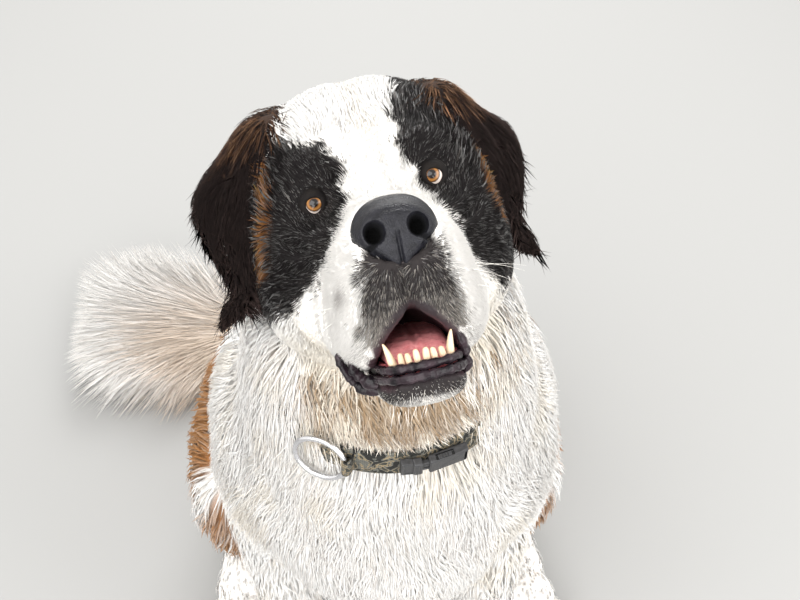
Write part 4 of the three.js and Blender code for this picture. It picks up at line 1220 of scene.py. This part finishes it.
def makeNose():
    bm = bmesh.new()
    loft(bm, "nose", noseForm, note=False)
    made = applied(meshObject("nose", bm), *remesh(0.8, ("SMOOTH", {"factor": 0.5, "iterations": 3})))
    co = points(made.data)
    narrow = noseForm["narrow"]
    co[:, 0] *= np.interp(co[:, 2], narrow["z"], narrow["by"])
    flat = np.stack([np.abs(co[:, 0]), co[:, 2]], 1)
    front = smoothStep(27, 15, co[:, 1])
    wing, hole, slit, groove = (noseForm[k] for k in ("wing", "hole", "slit", "groove"))
    co[:, 1] -= wing["push"] * np.exp(-(((flat - wing["at"]) / wing["half"]) ** 2).sum(1)) * front
    line = between([(*p, 0) for p in slit["line"]], 12)[:, :2]
    gap = np.min(np.linalg.norm(flat[:, None] - line[None], axis=2), axis=1)
    cutIn = (1 - smoothStep(0.3, 1.1, gap / slit["wide"])) * front
    off = np.linalg.norm((flat - hole["at"]) / hole["half"], axis=1)
    deep = (1 - smoothStep(0.5, 1.0, off)) * front
    co[:, 1] += np.maximum(slit["depth"] * cutIn, hole["depth"] * deep)
    line = np.exp(-((co[:, 0] / groove["wide"]) ** 2)) * smoothStep(groove["top"], -6, co[:, 2])
    co[:, 1] += groove["depth"] * line * front
    setPoints(made.data, co)
    # How deep each point lies in a nostril or slit, kept for the painted shade that blackens them
    writeValues(made.data, "deep", np.maximum(deep, cutIn * 0.7))
    applied(made, ("SMOOTH", {"factor": 0.5, "iterations": 2}))
    leather = bareMaterial("noseLeather", (0.012, 0.012, 0.016), (0.005, 0.005, 0.007), 0.34, 900, 0.55, cells=True,
                           deep=True, shine=0.22)
    settle(made, leather, "nose_leather", "nose")


makeNose()

# Eyes and lids

eyeForm = {
    "iris": 27, "pupil": 12, "cornea": 1.2, "lift": 7, "aside": 2, "out": 0.12, "crown": -0.1,
    "opening": {"side": 29, "up": 20, "down": 36}, "slant": 18, "square": 0.05, "gap": 0.3, "heavy": 1.2,
    # the lids from their edge outwards: rise in millimetres, spread in degrees
    "lids": [(-0.6, -2), (0.1, 0), (0.8, 1), (1.3, 4), (1.5, 9), (1.2, 20), (0.8, 36), (0.0, 50)],
}


# Three directions for an eye: out of the head, to its side and up
def eyeAxes(forward, upward=(0, 0, 1)):
    forward = unit(forward)
    across = unit(np.cross(upward, forward))
    return forward, across, np.cross(forward, across)


def eyeMaterial():
    material, nodes, links, shader = newMaterial("eye")
    where = addNode(nodes, links, "UVMap", uv_map="gaze").outputs["UV"]
    length = addNode(nodes, links, "VectorMath", {}, {0: where}, operation="LENGTH").outputs["Value"]
    fibres = addNode(nodes, links, "TexNoise", {"Scale": 9, "Detail": 6}, {"Vector": where}).outputs["Fac"]
    wobble = addNode(nodes, links, "Math", {1: 0.05}, {0: fibres, 2: length}, operation="MULTIPLY_ADD")
    iris, pupil = eyeForm["iris"] / 90, eyeForm["pupil"] / 90
    stops = [
        (0, (0.004, 0.003, 0.003)), (pupil + 0.02, (0.005, 0.003, 0.003)), (pupil + 0.035, (0.12, 0.048, 0.014)),
        (iris - 0.06, (0.30, 0.135, 0.034)), (iris - 0.01, (0.12, 0.048, 0.012)), (iris + 0.02, (0.03, 0.015, 0.01)),
        (iris + 0.06, (0.46, 0.40, 0.36)), (0.62, (0.32, 0.22, 0.19)), (1, (0.2, 0.08, 0.07)),
    ]
    ramp = addNode(nodes, links, "ValToRGB", {}, {"Fac": wobble.outputs["Value"]})
    setStops(ramp, [(at + (0.025 if at else 0), colour) for at, colour in stops])
    links.new(ramp.outputs["Color"], shader.inputs["Base Color"])
    setInputs(shader, {"Roughness": 0.12, "Specular IOR Level": 0.1, "Coat Weight": 0.7, "Coat Roughness": 0.02})
    return material


def makeEye(side, label, material):
    centre = eyePlace(side)
    toCamera = unit(toHead(cameraPlace["at"]) - centre)
    swing = (side * math.tan(math.radians(eyeForm["aside"])), 0, math.tan(math.radians(eyeForm["lift"])))
    gaze, across, upward = eyeAxes(toCamera + np.array(swing))
    bm = bmesh.new()
    bmesh.ops.create_uvsphere(bm, u_segments=48, v_segments=48, radius=eyeAt["radius"])
    layer = bm.loops.layers.uv.new("gaze")
    for v in bm.verts:
        local = np.array(v.co)
        angle = math.degrees(math.acos(np.clip(local[2] / eyeAt["radius"], -1, 1)))
        bulge = 1 + eyeForm["cornea"] / eyeAt["radius"] * float(smoothStep(eyeForm["iris"] + 6, 0, angle))
        turned = (across * local[0] + upward * local[1] + gaze * local[2]) * bulge
        around = math.atan2(local[1], local[0])
        for loop in v.link_loops:
            loop[layer].uv = (angle / 90 * math.cos(around), angle / 90 * math.sin(around))
        v.co = Vector(centre + turned)
    settle(meshObject(f"eyeball_{label}", bm), material, "eye", f"eye_{label}")


def makeLids(side, label, material):
    centre = eyePlace(side)
    forward, across, upward = eyeAxes((side * eyeForm["out"], -1, eyeForm["crown"]))
    across = across * side  # points out of the head
    opening = eyeForm["opening"]

    def place(section, v, _):
        rise, spread = section
        c, s = v.co.xy
        slant = math.radians(eyeForm["slant"]) * c  # the outer corner hangs lower
        angle = math.hypot(c * opening["side"], s * (opening["up"] if s > 0 else opening["down"]))
        angle *= 1 - eyeForm["square"] * abs(math.sin(2 * math.atan2(s, c)))
        heavy = max(s, 0) ** 2 * min(max(spread, 0), 12) / 12  # the upper lid is heavier
        angle = math.radians(angle + spread)
        out = unit(across * c + upward * (s - slant))
        radius = eyeAt["radius"] + eyeForm["gap"] + rise + eyeForm["heavy"] * heavy
        return centre + (forward * math.cos(angle) + out * math.sin(angle)) * radius

    bm = bmesh.new()
    tube(bm, eyeForm["lids"], 56, place)
    made = meshObject(f"lids_{label}", bm)
    applied(made, ("SOLIDIFY", {"thickness": 0.8, "offset": -1}), ("SUBSURF", {"levels": 1, "render_levels": 1}))
    settle(made, material, "black_coat")


eyeStuff = eyeMaterial()
lidStuff = bareMaterial("lidLeather", (0.010, 0.008, 0.007), (0.004, 0.003, 0.003), 0.7, 700, 0.5, shine=0.12)
for side, label in ((-1, "right"), (1, "left")):
    makeEye(side, label, eyeStuff)
    makeLids(side, label, lidStuff)
print("eyes")

# Mouth: tongue, gums, teeth and lips

mouthForm = {
    "tongue": headRows((31, -84, -94, 18), (44, -78, -93, 22), (62, -68, -90, 24), (95, -61, -84, 26),
                       (138, -52, -78, 28)),
    "gum": [(-26, 84, -81), (-26, 54, -85), (-22, 34, -89), (-14, 26, -90), (0, 23, -90.5), (14, 26, -90),
            (22, 34, -89), (26, 54, -85), (26, 84, -81)],
    "ridge": [(-31, 84, -80), (-29, 54, -85), (-25, 34, -88), (-16, 21, -89.5), (0, 17, -90), (16, 21, -89.5),
              (25, 34, -88), (29, 54, -85), (31, 84, -80)],
    "lip": [(-35, 96, -85), (-32, 66, -91), (-27, 36, -94.5), (-17, 19, -96.5), (0, 14.5, -97), (17, 19, -96.5),
            (27, 36, -94.5), (32, 66, -91), (35, 96, -85)],
    "flew": [
        [(-50, 76, -58), (-53, 73, -74), (-48, 77, -87), (-40, 80, -96), (-30, 74, -101)],
        [(-44, 66, -66), (-46, 66, -80), (-40, 68, -90), (-31, 64, -97)],
        [(27, 36, -66), (31, 42, -80), (32, 50, -92), (27, 54, -100)],
    ],
    "incisor": {"spacing": 5.7, "back": 22.5, "curve": 0.02, "base": -88, "high": 9.6, "wide": 2.65, "deep": 2.5,
                "point": 0.12},
    "canine": {"at": (19.5, 31, -88), "high": 19, "wide": 3.9, "deep": 4.0, "lean": 4.5, "point": 0.8},
}


# A rounded roll along a line: half width, half height and how deep its lumps and its middle groove are
def roll(bm, line, wide, high, lumps=0.0, groove=0.0, seed=1, taper=0.35):
    path = between(line, 10)
    along = unit(np.gradient(path, axis=0))
    across = unit(np.cross(along, (0, 0, 1)))
    upward = np.cross(across, along)
    bumps = np.clip(ripple(path, 8, seed), -0.8, 0.8)

    def place(i, v, _):
        c, s = v.co.xy
        far = min(max(i / (len(path) - 1), 0.02), 0.98)
        size = (taper + (1 - taper) * math.sin(math.pi * far) ** 0.5) * (1 + lumps * bumps[i])
        dent = 1 - groove * math.exp(-((s / 0.28) ** 2)) * (c > 0)
        return path[i] + across[i] * c * wide * size * dent + upward[i] * s * high * size

    tube(bm, range(len(path)), 20, place, capped=True)


# A tooth from rings that narrow towards a rounded tip, or stay wide as far as a blunt edge
def tooth(bm, at, high, wide, deep, lean, point):
    def place(s, v, _):
        size = (1 - s**7) ** 0.5 * (1 - point) + point * (1 - s) ** 0.8 if s else 0.85
        middle = np.array(at) + (lean[0] * s**1.4, lean[1] * s**1.4, high * s)
        return middle + (v.co.x * wide * size, v.co.y * deep * size, 0)

    tube(bm, (0, 0.25, 0.5, 0.75, 0.9, 0.97), 14, place, capped=True)


def makeMouth():
    bm = bmesh.new()
    loft(bm, "tongue", {"rows": mouthForm["tongue"], "inside": (0, 0), "ends": (0.7, 0.2), "length": 1, "lie": 1,
                        "segments": 40}, note=False)
    made = applied(meshObject("tongue", bm), *remesh(1.2, ("SMOOTH", {"factor": 0.5, "iterations": 4})))
    co = points(made.data)
    top = smoothStep(0.2, 0.8, normals(made.data)[:, 2])
    co[:, 2] += top * (2.4 * smoothStep(4, 20, np.abs(co[:, 0])) - 1.8 * np.exp(-((co[:, 0] / 2.2) ** 2)))
    co[:, 2] += top * ripple(co, 16, 5) * 0.5
    setPoints(made.data, co)
    pink = bareMaterial("tongueSkin", (0.88, 0.36, 0.36), (0.74, 0.22, 0.23), 0.3, 1500, 0.35, cells=True)
    settle(made, pink, "tongue", "tongue")
    bm = bmesh.new()
    roll(bm, mouthForm["gum"], 3.8, 3.8, lumps=0.1, seed=3)
    gum = bareMaterial("gums", (0.50, 0.15, 0.15), (0.24, 0.05, 0.06), 0.25, 500, 0.3)
    settle(meshObject("gums", bm), gum, "tongue")
    bm = bmesh.new()
    roll(bm, mouthForm["ridge"], 3.4, 3.4, lumps=0.22, seed=4)
    roll(bm, mouthForm["lip"], 3.8, 3.4, lumps=0.22, groove=0.2, seed=5)
    for k, line in enumerate(mouthForm["flew"]):
        roll(bm, line, 3.4, 4.8, lumps=0.4, seed=8 + k, taper=0.2)
    made = meshObject("lips", bm)
    applied(made, ("SUBSURF", {"levels": 1, "render_levels": 1}))
    lip = bareMaterial("lips", (0.028, 0.017, 0.022), (0.005, 0.0035, 0.005), 0.24, 420, 0.8, shine=0.22)
    settle(made, lip, "jaw")
    bm = bmesh.new()
    incisor, canine = mouthForm["incisor"], mouthForm["canine"]
    vary = np.random.default_rng(5)
    for i in range(6):
        x = (i - 2.5) * incisor["spacing"] + vary.uniform(-0.6, 0.6)
        at = (x, incisor["back"] + incisor["curve"] * x * x, incisor["base"])
        high = incisor["high"] * vary.uniform(0.86, 1.08)
        wide = incisor["wide"] * vary.uniform(0.88, 1.06)
        tooth(bm, at, high, wide, incisor["deep"], (vary.uniform(-0.7, 0.7), -0.8), incisor["point"])
    for side in (-1, 1):
        x, y, z = canine["at"]
        lean = (side * canine["lean"], -1.0)
        tooth(bm, (side * x, y, z), canine["high"], canine["wide"], canine["deep"], lean, canine["point"])
    ivory = bareMaterial("toothEnamel", (0.74, 0.62, 0.44), (0.58, 0.40, 0.26), 0.22, 160, 0.1)
    made = applied(meshObject("teeth", bm), ("SUBSURF", {"levels": 1, "render_levels": 1}))
    settle(made, ivory, "jaw")


makeMouth()
print("mouth")

# Whiskers and the long hairs of the chin and lips

whiskerForm = {"number": 4, "length": (35, 65), "thick": 0.17}
chinHair = {"number": 18, "length": (6, 14), "thick": 0.16}
alongHair = (0, 0.3, 0.6, 0.85, 1)  # where the rings of a hair or claw lie


def makeWhiskers():
    vary = np.random.default_rng(11)
    bm = bmesh.new()
    for side in (-1, 1):
        for _ in range(whiskerForm["number"]):
            root = np.array((side * vary.uniform(40, 54), vary.uniform(22, 60), vary.uniform(-62, -22)))
            way = unit((side * vary.uniform(0.8, 1.2), vary.uniform(0.2, 0.9), vary.uniform(-0.5, 0.15)))
            hairStrand(bm, root, way, vary.uniform(*whiskerForm["length"]), whiskerForm["thick"], (0, 0.25, -0.3))
        for _ in range(chinHair["number"]):
            root = np.array((side * vary.uniform(2, 30), vary.uniform(16, 40), vary.uniform(-118, -104)))
            way = unit((side * vary.uniform(0, 0.6), vary.uniform(-0.5, 0.2), -0.8))
            hairStrand(bm, root, way, vary.uniform(*chinHair["length"]), chinHair["thick"], (0, 0.5, -0.2))
    material, nodes, links, shader = newMaterial("whisker")
    place = addNode(nodes, links, "TexCoord").outputs["Object"]
    tone = addNode(nodes, links, "TexNoise", {"Scale": 60}, {"Vector": place}).outputs["Fac"]
    ramp = addNode(nodes, links, "ValToRGB", {}, {"Fac": tone})
    setStops(ramp, [(0, (0.6, 0.55, 0.48)), (1, (0.92, 0.9, 0.86))])
    links.new(ramp.outputs["Color"], shader.inputs["Base Color"])
    shader.inputs["Roughness"].default_value = 0.4
    settle(meshObject("whiskers", bm), material, "head_coat")


def hairStrand(bm, root, way, length, thick, bend):
    side, over = (unit(np.cross(way, axis)) for axis in ((0, 0, 1), (0, 1, 0)))

    def place(s, v, _):
        at = root + way * length * s + np.array(bend) * length * s * s * 0.5
        return at + (side * v.co.x + over * v.co.y) * thick * (1 - 0.8 * s)

    tube(bm, alongHair, 4, place, capped=True)


makeWhiskers()

# Claws

clawForm = {"length": 24, "thick": 4.4, "drop": 11}


def claw(bm, root):
    def place(s, v, _):
        size = clawForm["thick"] * (1 - s**1.5 * 0.86)
        at = root + (0, -clawForm["length"] * s, -clawForm["drop"] * s * s)
        at[2] = max(at[2], size + 0.5)
        return at + (v.co.x * size * 0.75, 0, v.co.y * size)

    tube(bm, alongHair, 12, place, capped=True)


def makeClaws():
    bm = bmesh.new()
    for side in (-1, 1):
        for x, y, wide, long, high in (pawForm["front"], pawForm["hind"]):
            for place in pawForm["toes"]:
                forward = toeForward(place, long) - long * 0.19
                root = np.array((side * x + place * (wide / 4 + 1.5), y + forward, high * 0.3))
                claw(bm, root)
    horn = bareMaterial("claws", (0.20, 0.14, 0.10), (0.05, 0.035, 0.03), 0.35, 300, 0.3)
    settle(meshObject("claws", bm), horn, "black_coat", head=False)


makeClaws()
print("claws")

# Collar: a woven strap round the neck, lower at the throat, with a side-release buckle and a ring


# A point on the neck under the strap, at an angle from the throat and a height across the strap
def onNeck(angle, height, out):
    tilt, turned = math.radians(collarForm["tilt"]), math.radians(angle)
    ahead = np.array((0, -math.cos(tilt), -math.sin(tilt)))
    over = np.array((0, -math.sin(tilt), math.cos(tilt)))
    way = math.cos(turned) * ahead + math.sin(turned) * np.array((1.0, 0, 0))
    start = np.array(collarForm["centre"]) + over * height
    table = np.array(collarForm["sections"])
    near, far = 20.0, 220.0
    for _ in range(26):
        reach = (near + far) / 2
        p = start + way * reach
        cx, cy, wide, deep = (np.interp(p[2], table[:, 0], table[:, k]) for k in (1, 2, 3, 4))
        beyond = ((p[0] - cx) / wide) ** 2 + ((p[1] - cy) / deep) ** 2 > 1
        near, far = (near, reach) if beyond else (reach, far)
    return start + way * (near + out), way, over


def makeStrap():
    bm = bmesh.new()
    along = bm.verts.layers.float_vector.new("weave")
    wide, thick = collarForm["wide"] / 2, collarForm["thick"]
    profile = [(-1, 0.15), (-1, 0.75), (-0.93, 1), (-0.5, 1.03), (0, 1.05), (0.5, 1.03), (0.93, 1), (1, 0.75),
               (1, 0.15), (0.9, 0), (0, -0.03), (-0.9, 0)]
    low, high = collarForm["clear"]

    def place(angle, v, k):
        turned = (angle + 180) % 360 - 180
        shown = smoothStep(low - 13, low - 5, turned) * smoothStep(high + 13, high + 5, turned)
        out = collarForm["strapOut"] - collarForm["sunk"] * (1 - shown)  # sinks into the coat where it is hidden
        across, up = profile[k]
        v[along] = (math.radians(angle) * 0.125, across * wide / 1000, 0)
        return onNeck(angle, across * wide, out + up * thick)[0]

    tube(bm, [180 + 360 * i / 150 for i in range(150)], len(profile), place, closed=True)
    ring = ringPlace()
    loop = [(-22, 2.4), (-12, 3.2), (-2, 3.6), (2.4, 2.4), (3.6, 0), (2.4, -2.4), (-2, -3.6), (-12, -3.2),
            (-22, -2.4)]  # the flap of webbing that holds the ring
    path = [ring["centre"] + ring["across"] * (collarForm["ringRadius"] + a) + ring["out"] * o for o, a in loop]
    band(bm, path, ring["up"], 18, 1.5, along)
    settle(meshObject("strap", bm), webbingMaterial(), "webbing", "collar_strap", head=False)


# A flat band along a path: its width lies along one direction
def band(bm, path, wideWay, wide, thick, layer):
    path = between(path, 5)
    ways = unit(np.gradient(path, axis=0))
    run = np.concatenate([[0], np.cumsum(np.linalg.norm(np.diff(path, axis=0), axis=1))])
    profile = [(-1, -0.6), (-0.94, -1), (0.94, -1), (1, -0.6), (1, 0.6), (0.94, 1), (-0.94, 1), (-1, 0.6)]

    def place(section, v, k):
        at, way, far = section
        a, b = profile[k]
        face = unit(np.cross(way, wideWay))
        v[layer] = (far / 1000, a * wide / 2000, 0)
        return at + np.array(wideWay) * a * wide / 2 + face * b * thick / 2

    tube(bm, list(zip(path, ways, run)), len(profile), place, filled=True)


# The ring's centre and directions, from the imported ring's points
def ringPlace():
    co = np.array([v.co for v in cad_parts["collar_ring"].data.vertices]) * 1000 - partShift
    low, high = co.min(0), co.max(0)
    centre = (low + high) / 2
    out = np.linalg.svd(co - centre, full_matrices=False)[2][2]
    out = out * (-1 if out[1] > 0 else 1)
    across = unit(np.cross((0, 0, 1), out))
    return {"centre": centre, "out": out, "across": across, "up": np.cross(out, across)}


def makeRing():
    ring, radius, thick = ringPlace(), collarForm["ringRadius"], collarForm["ringThick"]

    def place(angle, v, _):
        way = ring["across"] * math.cos(angle) + ring["up"] * math.sin(angle)
        return ring["centre"] + way * (radius + v.co.x * thick) + ring["out"] * v.co.y * thick

    bm = bmesh.new()
    tube(bm, [2 * math.pi * i / 96 for i in range(96)], 20, place, closed=True)
    material, nodes, links, shader = newMaterial("ringMetal")
    place = addNode(nodes, links, "TexCoord").outputs["Object"]
    scratches = addNode(nodes, links, "TexNoise", {"Scale": 600, "Detail": 6}, {"Vector": place}).outputs["Fac"]
    worn = addNode(nodes, links, "MapRange", {"To Min": 0.12, "To Max": 0.34}, {"Value": scratches})
    links.new(worn.outputs["Result"], shader.inputs["Roughness"])
    tint = addNode(nodes, links, "ValToRGB", {}, {"Fac": scratches})
    setStops(tint, [(0, (0.50, 0.50, 0.52)), (1, (0.80, 0.80, 0.82))])
    links.new(tint.outputs["Color"], shader.inputs["Base Color"])
    addBump(nodes, links, shader, scratches, 0.05, 0.0002)
    shader.inputs["Metallic"].default_value = 1.0
    settle(meshObject("ring", bm), material, "ring_metal", "collar_ring", head=False)


# The buckle's rounded boxes along, across and out of the strap: place, size, edge, and the edge's segments
buckleForm = {
    "female": [((11.5, 0, 4.2), (36, 22.5, 8.4), 1.8, 3)],
    "holes": [
        ((8, 12.5, 4.2), (17, 9, 5.6), 0.8, 3), ((8, -12.5, 4.2), (17, 9, 5.6), 0.8, 3),
        ((27, 0, 7.8), (2.6, 17, 6), 0.8, 3), ((-8, 0, 4.2), (10, 15.5, 4.6), 0.8, 3),
    ],
    "male": [
        ((-6, 0, 4.2), (16, 3.4, 3.4), 0.9, 3), ((-16.5, 0, 4.2), (8.5, 22, 8), 1.7, 3),
        ((-29, 0, 3.4), (3.2, 21, 6.4), 1.3, 3), ((-23.6, 0, 2.6), (2.2, 20, 3.6), 0.8, 3),
        ((-24.5, 0, 5.4), (9.5, 19, 1.2), 0.5, 2),
        *(((-19 + k * 2.4, 0, 8.2), (1.1, 15, 0.9), 0.4, 2) for k in range(3)),
    ],
}
for side in (-1, 1):
    buckleForm["male"] += [
        ((8, side * 9.2, 4.2), (13, 3.2, 4.9), 1.1, 3), ((-6, side * 5.6, 4.2), (14, 3, 4), 0.9, 3),
        ((-25.5, side * 10.4, 3.4), (10, 1.6, 6.4), 0.6, 2),
        *(((4.4 + k * 2.4, side * 10.9, 4.2), (1.1, 1.0, 4.2), 0.4, 2) for k in range(4)),
    ]


def boxes(rows):
    bm = bmesh.new()
    for at, size, edge, segments in rows:
        made = bmesh.ops.create_cube(bm, size=1, matrix=Matrix.Translation(at) @ Matrix.Diagonal((*size, 1)))
        edges = list({e for v in made["verts"] for e in v.link_edges})
        bmesh.ops.bevel(bm, geom=edges, offset=edge, offset_type="OFFSET", segments=segments, profile=0.5,
                        affect="EDGES", material=-1)
    return bm


def makeBuckle():
    at, way, over = onNeck(collarForm["buckleAt"], 0, collarForm["buckleOut"])
    across = unit(np.cross(over, way))
    out = unit(np.cross(across, over))
    female, holes, male = (meshObject(name, boxes(rows), smooth=False) for name, rows in buckleForm.items())
    applied(female, ("BOOLEAN", {"object": holes, "operation": "DIFFERENCE", "solver": "EXACT"}))
    bpy.data.objects.remove(holes)
    buckle = joined("buckle", [female, male])
    co = points(buckle.data)
    bend = co[:, 0] ** 2 / 270  # the case follows the neck
    setPoints(buckle.data, at + co[:, :1] * across + co[:, 1:2] * over + (co[:, 2:] - bend[:, None]) * out)
    moulded = bareMaterial("buckleCase", (0.030, 0.030, 0.032), (0.016, 0.016, 0.017), 0.46, 1400, 0.25)
    settle(buckle, moulded, "buckle_plastic", "collar_buckle", head=False)
    buckle.data.shade_flat()


# Webbing: ribs of yarn over a mottled pattern of black, grey and tan, with painted shade in the grooves between the
# ribs
def webbingMaterial():
    material, nodes, links, shader = newMaterial("webbing")
    where = {"Vector": attribute(nodes, "weave", "Vector")}
    # The brick pattern's dark mortar lines are painted shade in the grooves between the ribs; the same pattern gives
    # the ribs their bumps.
    ribs = addNode(nodes, links, "TexBrick", {
        "Scale": 1, "Brick Width": 0.0030, "Row Height": 0.0013, "Mortar Size": 0.0003, "Mortar Smooth": 1.0,
        "Color1": (1, 1, 1, 1), "Color2": (0.8, 0.8, 0.8, 1), "Mortar": (0.35, 0.35, 0.35, 1),
    }, where).outputs["Color"]
    mottle = addNode(nodes, links, "TexNoise", {"Scale": 115, "Detail": 1.5, "Distortion": 1.2}, where)
    pattern = addNode(nodes, links, "ValToRGB", {}, {"Fac": mottle.outputs["Fac"]})
    pattern.color_ramp.interpolation = "CONSTANT"
    setStops(pattern, [
        (0, (0.018, 0.018, 0.016)), (0.44, (0.12, 0.12, 0.105)), (0.53, (0.24, 0.19, 0.12)),
        (0.60, (0.04, 0.042, 0.036)),
    ])
    tone = addNode(nodes, links, "Mix", data_type="RGBA", blend_type="MULTIPLY")
    tone.inputs["Factor"].default_value = 1
    links.new(pattern.outputs["Color"], tone.inputs["A"])
    links.new(ribs, tone.inputs["B"])
    links.new(tone.outputs["Result"], shader.inputs["Base Color"])
    addBump(nodes, links, shader, ribs, 0.7, 0.0006)
    setInputs(shader, {"Roughness": 0.82, "Specular IOR Level": 0.25})
    return material


makeStrap()
makeRing()
makeBuckle()
print("collar")

# Camera, floor and light

lens = bpy.data.cameras.new("camera")
lens.lens = cameraPlace["lens"]
lens.sensor_width = 36
camera = newObject("camera", lens)
down, aside = math.radians(cameraPlace["down"]), math.radians(cameraPlace["aside"])
look = Vector((math.sin(aside) * math.cos(down), math.cos(aside) * math.cos(down), -math.sin(down)))
camera.location = Vector(toPart(cameraPlace["at"]))
camera.rotation_euler = look.to_track_quat("-Z", "Y").to_euler()
bpy.context.scene.camera = camera

floorBm = bmesh.new()
bmesh.ops.create_grid(floorBm, x_segments=1, y_segments=1, size=9)
floor = meshObject("floor", floorBm)
floor.location.z = -0.0005
material, nodes, links, shader = newMaterial("floor")
setInputs(shader, {"Base Color": (0.31, 0.31, 0.305, 1), "Roughness": 0.9})
floor.data.materials.append(material)

lamps = {  # place, target, size and power
    "key": ((-1.3, -1.7, 3.0), (0, 0, 0.7), 3.0, 108), "fill": ((2.2, -1.2, 1.9), (0, 0, 0.6), 2.0, 52),
    "front": ((0.0, -3.0, 0.9), (0.1, -0.2, 0.5), 2.4, 62), "rim": ((0.4, 2.4, 2.2), (0, 0, 0.6), 1.6, 55),
}
for name, (at, target, size, power) in lamps.items():
    data = bpy.data.lights.new(name, "AREA")
    data.size, data.energy = size, power
    made = newObject(name, data)
    made.location = at
    made.rotation_euler = (Vector(target) - Vector(at)).to_track_quat("-Z", "Y").to_euler()
world = bpy.data.worlds.new("studio")
world.use_nodes = True
setInputs(world.node_tree.nodes["Background"], {"Color": (1, 0.985, 0.96, 1), "Strength": 1.4})
bpy.context.scene.world = world
bpy.context.scene.view_settings.view_transform = "Standard"

print("done")
